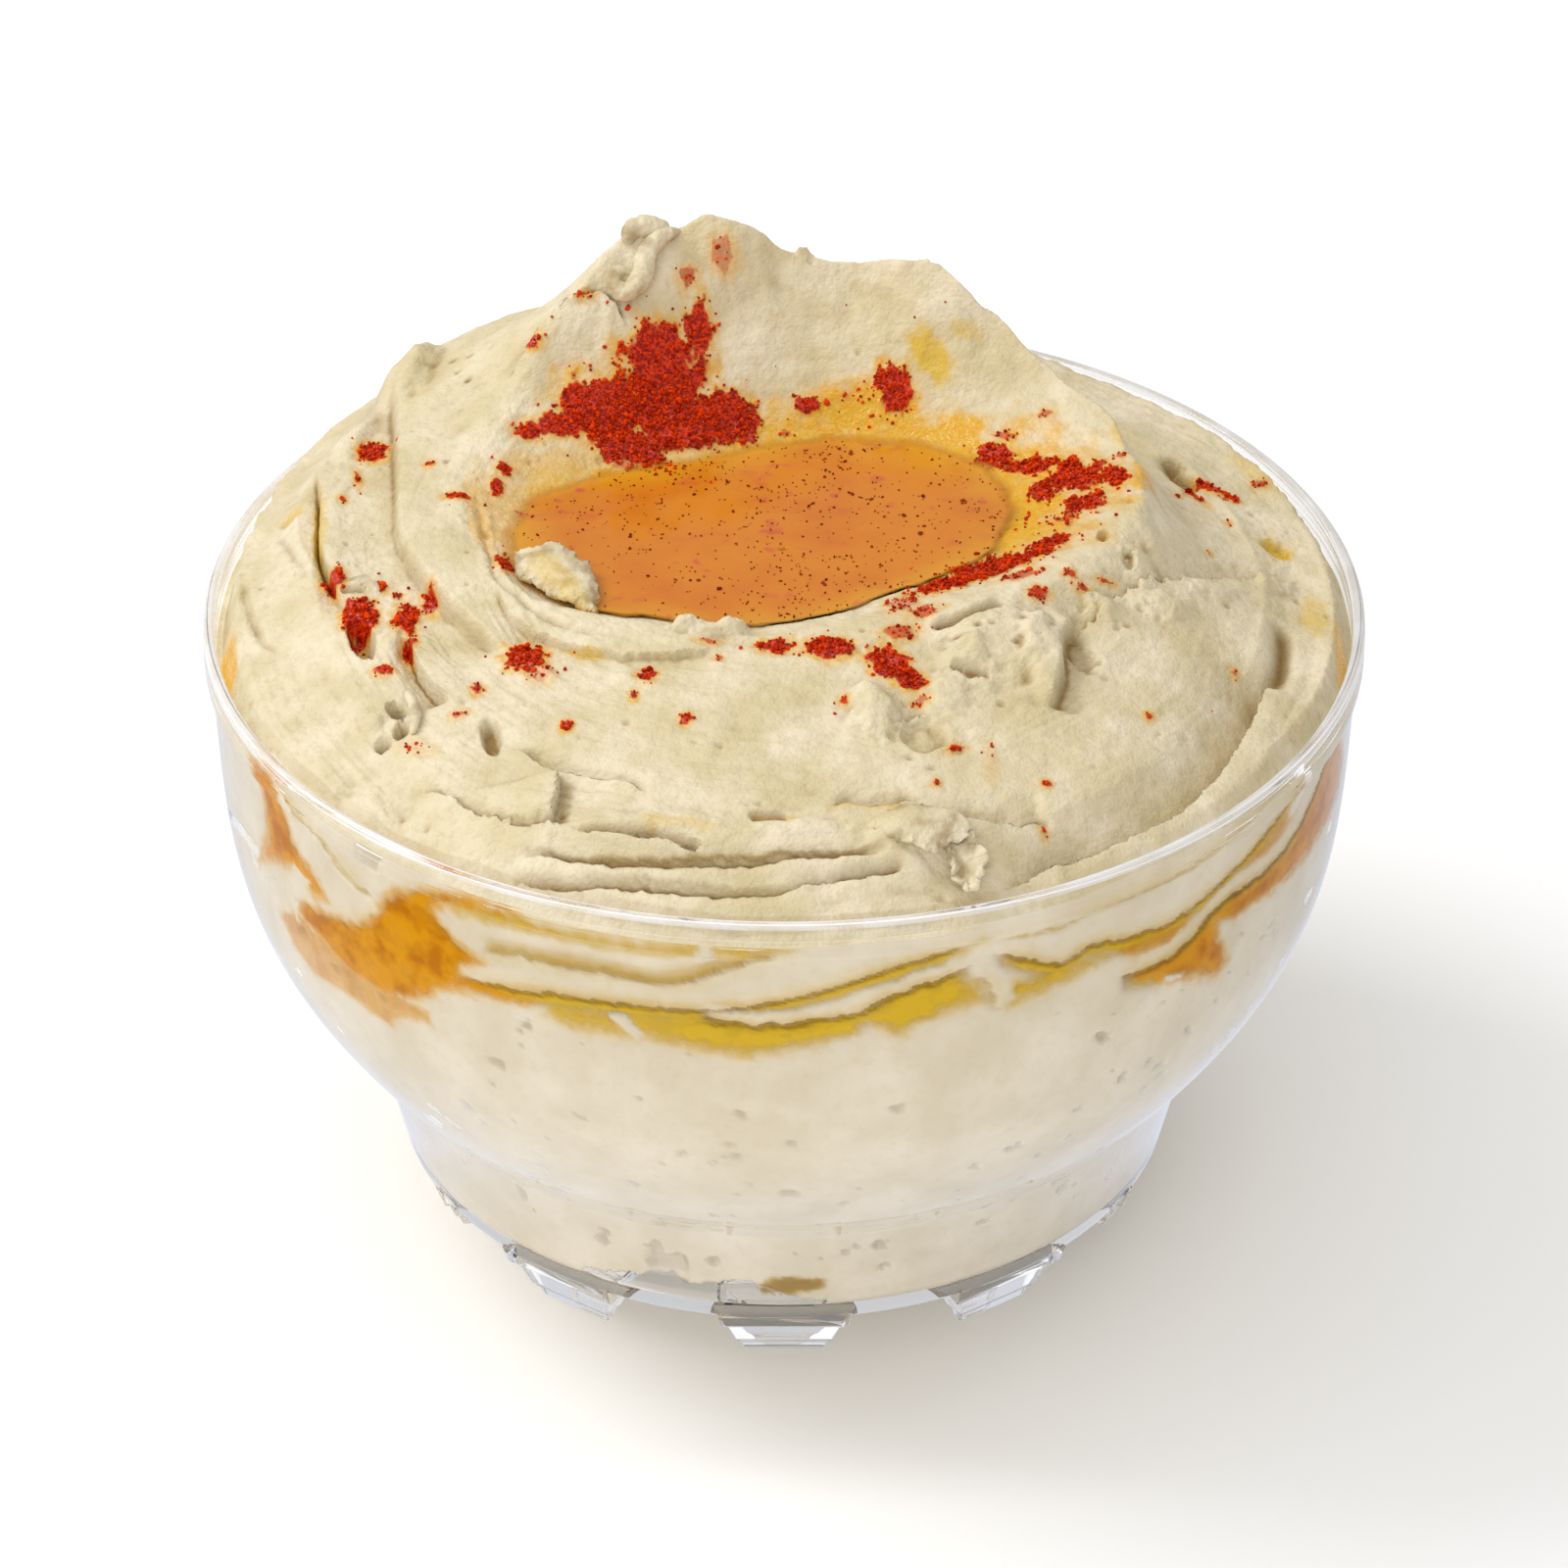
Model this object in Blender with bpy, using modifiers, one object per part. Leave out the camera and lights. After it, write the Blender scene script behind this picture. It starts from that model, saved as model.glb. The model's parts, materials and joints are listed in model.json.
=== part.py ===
"""Hummus swirled into a clear moulded bowl, with a pool of spiced oil in its crater.

Blender 4.5, metres, +Z up. The origin is on the ground under the middle of the bowl, and the low
lip of the crater faces -Y. Lengths are written in millimetres times MM.
"""

import math

import bmesh
import bpy
import numpy as np
from mathutils import Matrix, Vector

MM = 0.001
SIDES = 72                    # segments round the bowl and the food
CLEARANCE = 0.3 * MM          # gap between one solid and the next

# Bowl, measured on its outer face.
RIM_RADIUS = 62.6 * MM
RIM_HEIGHT = 71.4 * MM
RIM_ROUNDING = 0.5 * MM
COLLAR_HEIGHT = 4.2 * MM
COLLAR_STEP = 0.7 * MM
WALL = 1.3 * MM
BELLY_RADIUS = 61.6 * MM
BELLY_TOP = 60.0 * MM
STEP_RADIUS = 45.9 * MM       # where the belly meets the narrower foot ring
STEP_HEIGHT = 20.0 * MM
BASE_RADIUS = 42.7 * MM
BASE_HEIGHT = 6.7 * MM        # underside of the base above the ground
BASE_THICKNESS = 1.6 * MM
BELLY_POINTS = 7

# Feet: stepped tabs that taper to the ground. Each section has a height, a half width, and the
# distances of its outer and inner faces from the axis.
FEET = 10
FOOT_SECTIONS = (
    (7.5 * MM, 7.3 * MM, 42.5 * MM, 36.2 * MM),
    (5.0 * MM, 7.0 * MM, 41.6 * MM, 36.4 * MM),
    (5.0 * MM, 6.3 * MM, 41.1 * MM, 36.8 * MM),
    (1.8 * MM, 5.1 * MM, 39.9 * MM, 37.1 * MM),
    (1.8 * MM, 4.7 * MM, 39.6 * MM, 37.3 * MM),
    (0.0 * MM, 4.3 * MM, 38.8 * MM, 37.6 * MM),
)

# Hummus: four rings round the middle of the crater, each a list of stations. An angle is in
# degrees from +X, a distance is from the crater's middle, and a height is above the ground.
CRATER_MIDDLE = Vector((0.0, -4.0 * MM))
POOL_LEVEL = 80.5
POOL_DEPTH = 5.0
POOL_EDGE = (                 # angle, distance
    (0, 22.5), (30, 28.5), (60, 26.5), (90, 23.0), (115, 21.5), (140, 25.0),
    (165, 28.5), (195, 27.5), (225, 20.5), (255, 16.4), (285, 14.7), (315, 14.5), (340, 17.5),
)
CREST = (                     # angle, distance, height, steepness of the fall outside it
    (0, 36.5, 83.6, 1.3), (30, 41.5, 84.4, 3.0), (50, 41.0, 88.0, 3.0), (65, 40.5, 95.0, 2.2),
    (90, 38.5, 96.4, 1.7), (115, 39.0, 99.6, 1.5), (128, 38.6, 94.5, 1.2), (142, 37.6, 87.0, 1.0),
    (165, 36.0, 82.4, 0.9), (195, 28.5, 81.4, 0.9), (225, 21.5, 81.3, 1.0), (270, 17.2, 81.2, 1.0),
    (300, 19.5, 82.2, 1.0), (330, 26.0, 83.2, 1.0),
)
SHOULDER = (                  # angle, distance, height
    (0, 51.5, 74.0), (30, 52.5, 74.2), (60, 52.0, 75.0), (90, 52.0, 79.5), (115, 52.5, 84.5),
    (135, 54.5, 83.6), (147, 54.5, 79.8), (165, 54.5, 78.0), (180, 50.5, 77.8), (200, 49.5, 75.6),
    (225, 50.0, 74.4), (245, 51.0, 75.2), (270, 49.0, 75.6), (300, 50.5, 75.2), (330, 50.0, 74.6),
)
EDGE = (                      # angle, height where the food meets the wall
    (0, 70.8), (30, 71.2), (60, 71.6), (90, 72.2), (120, 73.8), (145, 73.0), (165, 72.0),
    (185, 71.2), (210, 70.2), (240, 68.6), (270, 68.0), (300, 69.2), (330, 70.2),
)
GROOVE = (                    # angle, depth of the furrow between the swirl and its outer lip
    (0, 1.4), (30, 0.4), (60, 0.2), (90, 0.3), (120, 0.6), (150, 1.0), (180, 0.8), (210, 0.4),
    (240, 1.6), (270, 2.4), (300, 2.8), (330, 2.8),
)
FURROW = (                    # share of the way from shoulder to wall, share of the depth
    (0.14, 0.85), (0.3, 1.0), (0.52, 0.2), (0.78, 0.0),
)
SWIRL_DEPTH = 0.8             # ridges that the spoon leaves as it turns
SWIRL_PITCH = 9.0
CREASE_DEPTH = 1.6            # fold between the left petal and the swirl
CREASE = ((-50.5, 14.0), (-49.0, 4.0), (-46.0, -8.0), (-43.0, -20.0), (-40.0, -30.0))
CREASE_WIDTH = 3.0
BELLY_RINGS = 5               # rings of the food between the trapped oil and the bowl's step
FOOT_RINGS = 2                # and from the step down to the floor

# Oil trapped between the food and the wall. Azimuths are about the bowl's axis.
WALL_OIL_THICKNESS = 1.1 * MM
WALL_OIL_RANGE = (190.0, 352.0)
WALL_OIL = (                  # azimuth, middle height, half height
    (185, 64.0, 1.2), (205, 58.5, 3.0), (222, 54.5, 5.5), (236, 57.0, 4.0), (250, 56.3, 1.7),
    (265, 55.6, 1.5), (280, 57.8, 1.3), (300, 59.8, 1.6), (318, 58.5, 2.5), (335, 62.0, 2.0),
    (355, 65.0, 1.2),
)

COLLECTION = "hummus_in_bowl"
COLOURS = {                   # base colour, roughness, alpha
    "bowl": ((0.90, 0.93, 0.95), 0.04, 0.30),
    "hummus": ((0.74, 0.65, 0.42), 0.55, 1.0),
    "oil_pool": ((0.72, 0.27, 0.05), 0.08, 1.0),
    "wall_oil": ((0.70, 0.33, 0.03), 0.10, 1.0),
}


def clear_scene():
    for obj in list(bpy.data.objects):
        bpy.data.objects.remove(obj, do_unlink=True)


def make_collection(name, hidden=False):
    collection = bpy.data.collections.new(name)
    bpy.context.scene.collection.children.link(collection)
    collection.hide_render = hidden
    return collection


def make_material(name):
    colour, roughness, alpha = COLOURS[name]
    material = bpy.data.materials.new(name)
    material.use_nodes = True
    shader = material.node_tree.nodes["Principled BSDF"]
    shader.inputs["Base Color"].default_value = (*colour, 1.0)
    shader.inputs["Roughness"].default_value = roughness
    shader.inputs["Metallic"].default_value = 0.0
    shader.inputs["Alpha"].default_value = alpha
    return material


def add_object(name, points, edges, faces, collection):
    mesh = bpy.data.meshes.new(name)
    mesh.from_pydata(points, edges, faces)
    obj = bpy.data.objects.new(name, mesh)
    collection.objects.link(obj)
    if name in COLOURS:
        mesh.materials.append(make_material(name))
    return obj


def around(stations, angle):
    """Smooth value at an angle, read from stations that go once round."""
    angles = [station[0] for station in stations]
    count = len(stations)
    turn = angle % 360.0
    after = next((i for i, a in enumerate(angles) if a > turn), count)
    wanted = range(after - 2, after + 2)
    spots = [angles[i % count] + 360.0 * (i // count) for i in wanted]
    rows = [np.array(stations[i % count][1:], float) for i in wanted]
    slopes = [
        (rows[i + 1] - rows[i - 1]) / (spots[i + 1] - spots[i - 1]) for i in (1, 2)
    ]
    span = spots[2] - spots[1]
    t = (turn - spots[1]) / span
    ease = t * t * (3.0 - 2.0 * t)
    value = rows[1] * (1.0 - ease) + rows[2] * ease
    value += span * (slopes[0] * t * (1.0 - t) ** 2 - slopes[1] * t * t * (1.0 - t))
    return value if len(value) > 1 else float(value[0])


def bezier(start, handle, second_handle, end, count):
    """Points of a cubic curve, with both ends."""
    points = []
    for i in range(count + 1):
        t = i / count
        s = 1.0 - t
        points.append(
            start * s**3 + handle * 3 * t * s * s + second_handle * 3 * t * t * s + end * t**3
        )
    return points


# ---------------------------------------------------------------- bowl


def belly_curve():
    """The belly's outer face from the top down, as (radius, height)."""
    top = Vector((BELLY_RADIUS, BELLY_TOP))
    step = Vector((STEP_RADIUS, STEP_HEIGHT))
    rise = BELLY_TOP - STEP_HEIGHT
    spread = BELLY_RADIUS - STEP_RADIUS
    upper_handle = top - Vector((0.05 * spread, 0.42 * rise))
    lower_handle = step + Vector((0.89 * spread, 0.42 * rise))
    return bezier(top, upper_handle, lower_handle, step, BELLY_POINTS)


def outer_profile():
    """The bowl's outer face from the rim to the middle of the base."""
    rounding = RIM_ROUNDING
    rim = [
        Vector((RIM_RADIUS - rounding, RIM_HEIGHT)),
        Vector((RIM_RADIUS - 0.3 * rounding, RIM_HEIGHT - 0.3 * rounding)),
        Vector((RIM_RADIUS, RIM_HEIGHT - rounding)),
        Vector((RIM_RADIUS, RIM_HEIGHT - COLLAR_HEIGHT)),
        Vector((RIM_RADIUS - COLLAR_STEP, RIM_HEIGHT - COLLAR_HEIGHT - COLLAR_STEP)),
    ]
    base = [
        Vector((BASE_RADIUS + 0.2 * MM, BASE_HEIGHT + 0.8 * MM)),
        Vector((BASE_RADIUS - 0.8 * MM, BASE_HEIGHT)),
        Vector((0.0, BASE_HEIGHT)),
    ]
    return rim + belly_curve() + base


def inner_profile():
    """The bowl's inner face from the middle of the floor up to the rim."""
    belly = belly_curve()
    inner = []
    for i, point in enumerate(belly):
        before, after = belly[max(i - 1, 0)], belly[min(i + 1, len(belly) - 1)]
        along = (after - before).normalized()
        inner.append(point + WALL * Vector((along.y, -along.x)))
    floor = BASE_HEIGHT + BASE_THICKNESS
    lower = [
        Vector((0.0, floor)),
        Vector((BASE_RADIUS - WALL - 1.2 * MM, floor)),
        Vector((BASE_RADIUS - WALL + 0.2 * MM, floor + 1.2 * MM)),
    ]
    upper = [
        Vector((RIM_RADIUS - WALL - 0.1 * MM, RIM_HEIGHT - COLLAR_HEIGHT)),
        Vector((RIM_RADIUS - WALL, RIM_HEIGHT - RIM_ROUNDING)),
        Vector((RIM_RADIUS - WALL + RIM_ROUNDING, RIM_HEIGHT)),
    ]
    return lower + inner[::-1] + upper


def shape_section(verts, height, half_width, outer, inner):
    """Moves the four corners of a box's end to one section of a foot."""
    middle = sum(vert.co.y for vert in verts) / 4.0
    for vert in verts:
        side = 1.0 if vert.co.x > 0.0 else -1.0
        distance = outer if vert.co.y < middle else inner
        vert.co = (side * half_width, -distance, height)


def make_foot(bm, angle):
    """One stepped tab: a box whose underside is extruded from section to section."""
    corners = bmesh.ops.create_cube(bm, size=1.0)["verts"]
    upper = [v for v in corners if v.co.z > 0.0]
    lower = [v for v in corners if v.co.z < 0.0]
    bottom = next(f for f in bm.faces if set(f.verts) == set(lower))
    shape_section(upper, *FOOT_SECTIONS[0])
    shape_section(lower, *FOOT_SECTIONS[1])
    made = list(corners)
    for section in FOOT_SECTIONS[2:]:
        grown = bmesh.ops.extrude_face_region(bm, geom=[bottom])["geom"]
        bmesh.ops.delete(bm, geom=[bottom], context="FACES_ONLY")
        bottom = next(g for g in grown if isinstance(g, bmesh.types.BMFace))
        shape_section(bottom.verts, *section)
        made += list(bottom.verts)
    bmesh.ops.rotate(bm, verts=made, cent=(0, 0, 0), matrix=Matrix.Rotation(angle, 3, "Z"))


def make_bowl(parts, cutters):
    profile = inner_profile() + outer_profile()
    points = [(p.x, 0.0, p.y) for p in profile]
    edges = [(i, i + 1) for i in range(len(points) - 1)]
    bowl = add_object("bowl", points, edges, [], parts)
    screw = bowl.modifiers.new("turn", "SCREW")
    screw.axis = "Z"
    screw.angle = math.tau
    screw.steps = SIDES
    screw.render_steps = SIDES
    screw.use_merge_vertices = True
    screw.merge_threshold = 0.02 * MM

    feet = add_object("feet_shape", [], [], [], cutters)
    bm = bmesh.new()
    for i in range(FEET):
        make_foot(bm, math.tau * i / FEET)
    bmesh.ops.recalc_face_normals(bm, faces=bm.faces)
    bm.to_mesh(feet.data)
    bm.free()
    feet.display_type = "WIRE"
    feet.hide_render = True
    union = bowl.modifiers.new("feet", "BOOLEAN")
    union.operation = "UNION"
    union.solver = "EXACT"
    union.object = feet
    return bowl


# ---------------------------------------------------------------- food


def wall_radius(height):
    """Radius of the bowl's inner face at a height in metres."""
    face = inner_profile()[1:-1]
    return float(np.interp(height, [p.y for p in face], [p.x for p in face]))


def inner_step():
    """Where the belly meets the foot ring on the inside, as (radius, height)."""
    return inner_profile()[3]


def direction(angle):
    turn = math.radians(angle)
    return Vector((math.cos(turn), math.sin(turn)))


def reach_to_wall(angle, height):
    """Distance from the crater's middle to the food's edge beside the wall."""
    radius = wall_radius(height) - CLEARANCE
    toward = direction(angle)
    along = CRATER_MIDDLE.dot(toward)
    return -along + math.sqrt(along**2 - CRATER_MIDDLE.length_squared + radius**2)


def crease_depth(spot):
    """How far the fold beside the left petal sinks at a spot, in millimetres."""
    nearest = min(
        (Vector(a).lerp(Vector(b), k / 6) - spot).length
        for a, b in zip(CREASE, CREASE[1:])
        for k in range(7)
    )
    return CREASE_DEPTH * math.exp(-((nearest / CREASE_WIDTH) ** 2) * 2.0)


def floor_height(share):
    """Height under the oil at a share of the way out to the pool's edge."""
    return POOL_LEVEL - POOL_DEPTH * (1.0 - share**2)


def top_section(angle):
    """The food's top along one direction, as (distance, height) in millimetres."""
    pool = around(POOL_EDGE, angle)
    crest, crest_height, steepness = around(CREST, angle)
    shoulder, shoulder_height = around(SHOULDER, angle)
    edge_height = around(EDGE, angle)
    reach = reach_to_wall(angle, edge_height * MM) / MM
    groove = around(GROOVE, angle)

    section = [(pool * s, floor_height(s)) for s in (0.35, 0.65, 0.85, 1.0)]
    for s in (0.25, 0.5, 0.75, 1.0):
        rise = s**1.2
        section.append((pool + (crest - pool) * s, POOL_LEVEL + (crest_height - POOL_LEVEL) * rise))
    for s in (0.15, 0.3, 0.45, 0.6, 0.75, 0.9):
        distance = crest + (shoulder - crest) * s
        height = shoulder_height + (crest_height - shoulder_height) * (1.0 - s) ** steepness
        wave = math.sin(math.tau * (distance / SWIRL_PITCH - angle / 360.0))
        height += SWIRL_DEPTH * wave * math.sin(math.pi * s)
        section.append((distance, height))
    section.append((shoulder, shoulder_height))
    for s, dip in FURROW:
        distance = shoulder + (reach - shoulder) * s
        height = shoulder_height + (edge_height - shoulder_height) * s
        section.append((distance, height - groove * dip))
    section.append((reach, edge_height))
    return section


def side_section(azimuth):
    """Radius and height down the food's side, hollowed where oil is trapped."""
    middle, half = around(WALL_OIL, azimuth)
    inside = WALL_OIL_RANGE[0] <= azimuth <= WALL_OIL_RANGE[1]
    hollow = (WALL_OIL_THICKNESS + CLEARANCE) if inside else 0.0
    top_of_oil = (middle + half) * MM
    foot_of_oil = (middle - half) * MM
    levels = [
        (top_of_oil + 1.1 * MM, 0.0),
        (top_of_oil + 0.4 * MM, hollow),
        (foot_of_oil - 0.4 * MM, hollow),
        (foot_of_oil - 1.1 * MM, 0.0),
    ]
    bottom = BASE_HEIGHT + BASE_THICKNESS + CLEARANCE
    step = inner_step().y
    for start, end, rings in (
        (levels[-1][0], step, BELLY_RINGS),
        (step, bottom + 1.2 * MM, FOOT_RINGS),
    ):
        levels += [(start + (end - start) * (i + 1) / rings, 0.0) for i in range(rings)]
    section = [(wall_radius(z) - CLEARANCE - inset, z) for z, inset in levels]
    section.append((BASE_RADIUS - WALL - 1.5 * MM - CLEARANCE, bottom))
    return section


def azimuth_of(spot):
    return math.degrees(math.atan2(spot.y, spot.x)) % 360.0


def loft(sections, first_cap, last_cap):
    """Closed skin, as mesh data, through columns of points with a middle point at each end."""
    points = [first_cap, last_cap]
    columns = len(sections)
    rings = len(sections[0])
    points += [point for section in sections for point in section]
    faces = []
    for i in range(columns):
        here = 2 + i * rings
        there = 2 + ((i + 1) % columns) * rings
        faces.append((0, here, there))
        faces.append((1, there + rings - 1, here + rings - 1))
        for k in range(rings - 1):
            faces.append((here + k, here + k + 1, there + k + 1, there + k))
    return points, [], faces


def make_hummus(parts):
    sections = []
    for i in range(SIDES):
        angle = 360.0 * i / SIDES
        toward = direction(angle)
        section = []
        for distance, height in top_section(angle):
            spot = CRATER_MIDDLE + toward * distance * MM
            height -= crease_depth(spot / MM)
            section.append((spot.x, spot.y, height * MM))
        azimuth = azimuth_of(Vector(section[-1][:2]))
        outward = direction(azimuth)
        for radius, height in side_section(azimuth):
            section.append((outward.x * radius, outward.y * radius, height))
        sections.append(section)
    top = (*CRATER_MIDDLE, floor_height(0.0) * MM)
    bottom = (0.0, 0.0, BASE_HEIGHT + BASE_THICKNESS + CLEARANCE)
    return add_object("hummus", *loft(sections, top, bottom), parts)


def make_oil_pool(parts):
    """A lens of oil: flat on top, and following the crater's floor underneath."""
    setback = 1.0
    lift = CLEARANCE / MM + 0.05
    sections = []
    for i in range(SIDES):
        angle = 360.0 * i / SIDES
        toward = direction(angle)
        pool = around(POOL_EDGE, angle)
        brim = 1.0 - setback / pool
        section = []
        for share, height in (
            (brim, POOL_LEVEL),
            (brim * 0.8, floor_height(brim * 0.8) + lift),
            (brim * 0.45, floor_height(brim * 0.45) + lift),
        ):
            spot = CRATER_MIDDLE + toward * pool * share * MM
            section.append((spot.x, spot.y, height * MM))
        sections.append(section)
    top = (*CRATER_MIDDLE, POOL_LEVEL * MM)
    bottom = (*CRATER_MIDDLE, (floor_height(0.0) + lift) * MM)
    return add_object("oil_pool", *loft(sections, top, bottom), parts)


def make_wall_oil(parts):
    """A ribbon of oil between the food and the wall, tapered to nothing at its ends."""
    azimuths = []
    for i in range(SIDES):
        angle = 360.0 * i / SIDES
        reach = reach_to_wall(angle, around(EDGE, angle) * MM)
        azimuths.append(azimuth_of(CRATER_MIDDLE + direction(angle) * reach))
    first, last = WALL_OIL_RANGE
    azimuths = sorted(a for a in azimuths if first + 4.0 < a < last - 4.0)
    points = []
    for azimuth in azimuths:
        middle, half = around(WALL_OIL, azimuth)
        outward = direction(azimuth)
        along = (azimuth - first) / (last - first)
        thickness = WALL_OIL_THICKNESS * min(1.0, 0.3 + 6.0 * min(along, 1.0 - along))
        for height, inset in (
            (middle + half, 0.0),
            (middle - half, 0.0),
            (middle - half, thickness),
            (middle + half, thickness),
        ):
            radius = wall_radius(height * MM) - CLEARANCE - inset
            points.append((outward.x * radius, outward.y * radius, height * MM))
    faces = [(0, 1, 2, 3)]
    last_corner = len(points) - 4
    for start in range(0, last_corner, 4):
        for k in range(4):
            here, there = start + k, start + (k + 1) % 4
            faces.append((here, here + 4, there + 4, there))
    faces.append(tuple(last_corner + k for k in (3, 2, 1, 0)))
    return add_object("wall_oil", points, [], faces, parts)


def finish(obj):
    """Faces turned outward and shaded smooth, with sharp folds kept."""
    bm = bmesh.new()
    bm.from_mesh(obj.data)
    if bm.faces:
        bmesh.ops.recalc_face_normals(bm, faces=bm.faces)
        bm.to_mesh(obj.data)
        obj.data.shade_smooth()
        obj.data.set_sharp_from_angle(angle=math.radians(50.0))
    bm.free()


def main():
    clear_scene()
    parts = make_collection(COLLECTION)
    cutters = make_collection("cutters", hidden=True)
    make_bowl(parts, cutters)
    for obj in (make_hummus(parts), make_oil_pool(parts), make_wall_oil(parts)):
        finish(obj)


main()
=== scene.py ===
"""Hummus swirled into a clear moulded bowl, with spiced oil in its crater and paprika over it.

Blender 4.5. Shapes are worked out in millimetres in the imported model's own frame, +Z up, with the
origin on the ground under the bowl. The low lip of the crater faces -Y.
"""

import json
import math
from collections import namedtuple

import bmesh
import bpy
import numpy as np
from bpy.props import FloatProperty, FloatVectorProperty, IntProperty, PointerProperty
from mathutils import Matrix, Vector

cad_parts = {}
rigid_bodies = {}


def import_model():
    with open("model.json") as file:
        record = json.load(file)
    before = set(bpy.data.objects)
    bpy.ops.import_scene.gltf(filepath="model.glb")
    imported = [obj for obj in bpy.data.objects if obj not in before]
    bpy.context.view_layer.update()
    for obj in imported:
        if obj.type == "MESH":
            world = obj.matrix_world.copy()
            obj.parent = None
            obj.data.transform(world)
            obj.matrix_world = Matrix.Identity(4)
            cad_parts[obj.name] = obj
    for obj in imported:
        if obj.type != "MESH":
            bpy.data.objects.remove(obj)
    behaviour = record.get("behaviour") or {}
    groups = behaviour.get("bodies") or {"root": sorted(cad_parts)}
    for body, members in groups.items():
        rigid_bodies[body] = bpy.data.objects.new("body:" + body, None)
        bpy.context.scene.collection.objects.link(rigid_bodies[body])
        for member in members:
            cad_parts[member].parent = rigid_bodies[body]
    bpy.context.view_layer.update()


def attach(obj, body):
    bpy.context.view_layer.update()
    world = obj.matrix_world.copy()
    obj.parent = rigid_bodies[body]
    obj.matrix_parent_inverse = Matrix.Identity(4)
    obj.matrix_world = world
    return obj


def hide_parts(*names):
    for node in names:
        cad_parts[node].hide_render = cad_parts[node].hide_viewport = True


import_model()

bl_info = {
    "name": "Hummus Bowl",
    "version": (1, 0, 0),
    "blender": (4, 5, 0),
    "location": "3D View > Sidebar > Hummus",
    "description": "Builds a bowl of hummus with spiced oil and paprika",
    "category": "Object",
}

MM = 0.001
BODY = "root"

# ---------------------------------------------------------------- stage, in metres and watts

LAMPS = (                     # name, place, size, watts, whether it shines in gloss
    ("key", (-0.72, 0.22, 0.85), (0.50, 0.50), 5.8, True),
    ("front", (-0.34, -1.10, 0.46), (1.00, 1.00), 4.7, False),
    ("strip", (0.0, -0.02, 1.30), (1.40, 0.16), 3.4, True),
)
LAMP_TARGET = Vector((0.0, 0.0, 0.06))
WORLD_LIGHT = 0.60
VIEW_CENTRE_HEIGHT = 0.04807
FLOOR_HALF = 6.0

# ---------------------------------------------------------------- sizes of the bowl, in mm

RIM_RADIUS = 62.6
RIM_HEIGHT = 71.4
COLLAR_HEIGHT = 4.2
COLLAR_STEP = 0.7
WALL = 1.3
BELLY_RADIUS = 61.6
BELLY_TOP = 60.0
STEP_RADIUS = 45.9
STEP_HEIGHT = 20.0
BASE_RADIUS = 42.7
BASE_HEIGHT = 6.7
BASE_THICKNESS = 1.6
BELLY_POINTS = 40
FEET = 10
FOOT_SECTIONS = (             # height, half width, outer and inner distance from the axis
    (7.5, 7.3, 42.5, 36.2), (5.0, 7.0, 41.6, 36.4), (5.0, 6.3, 41.1, 36.8),
    (1.8, 5.1, 39.9, 37.1), (1.8, 4.7, 39.6, 37.3), (0.0, 4.3, 38.8, 37.6),
)

# ---------------------------------------------------------------- sizes of the food, in mm

# Rings round the middle of the crater: an angle in degrees from +X, a distance from the middle,
# and a height above the ground.
CRATER = (0.0, -4.0)
POOL_LEVEL = 80.5
POOL_DEPTH = 5.0
POOL_EDGE = (
    (0, 22.5), (30, 28.0), (60, 26.5), (90, 23.0), (115, 21.5), (140, 25.0),
    (165, 30.0), (195, 29.0), (225, 20.5), (255, 16.4), (285, 14.7), (315, 14.5), (340, 17.5),
)
CREST = (                     # angle, distance, height, steepness of the fall outside it
    (0, 36.5, 83.6, 1.3), (30, 41.5, 84.4, 3.0), (50, 41.0, 88.0, 3.0), (66, 40.5, 95.2, 2.2),
    (78, 39.2, 94.6, 1.9), (90, 38.5, 96.0, 1.7), (115, 39.0, 99.6, 1.5), (128, 38.6, 94.5, 1.2),
    (142, 37.6, 87.0, 1.0), (165, 36.0, 82.4, 0.9), (195, 28.5, 81.4, 0.9), (225, 21.5, 81.3, 1.0),
    (270, 17.2, 81.2, 1.0), (300, 19.5, 82.2, 1.0), (330, 26.0, 83.2, 1.0),
)
SHOULDER = (
    (0, 51.5, 74.0), (30, 52.5, 74.2), (60, 52.0, 75.0), (90, 52.0, 79.5), (115, 52.5, 84.5),
    (135, 54.5, 83.6), (147, 54.5, 79.8), (165, 54.5, 78.0), (180, 50.5, 77.8), (200, 49.5, 75.6),
    (225, 50.0, 74.4), (245, 51.0, 75.2), (270, 49.0, 75.6), (300, 50.5, 75.2), (330, 50.0, 74.6),
)
EDGE = (                      # angle, height where the food meets the wall
    (0, 70.8), (30, 71.2), (60, 71.6), (90, 72.2), (120, 73.8), (145, 73.0), (165, 72.0),
    (185, 71.2), (210, 70.2), (240, 68.6), (270, 68.0), (300, 69.2), (330, 70.2),
)

GAP = (                       # angle, how wide and how deep the food stands off the wall
    (0, 1.9, 2.6), (30, 1.8, 2.8), (60, 1.4, 1.4), (90, 1.2, 0.4), (120, 1.2, 0.4), (142, 1.7, 2.2),
    (165, 2.5, 3.4), (188, 2.4, 3.2), (203, 1.7, 1.0), (220, 1.2, 0.1), (250, 1.1, 0.0),
    (290, 1.1, 0.0), (318, 1.2, 0.3), (340, 1.7, 1.8),
)

INTO_WALL = 0.06              # how far the food reaches into the wall, so that no air shows
FOOT_SHADE_WIDTH = 0.28              # half width of the painted shade at the foot of a ledge
POOL_RINGS = 10               # of the rings over the food's top, those under the pool
POOL_OVERLAP = 2.2            # how far the pool's mesh runs on under the food
SPLIT_HEIGHT = 46.0           # where the side's two pieces meet

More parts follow.
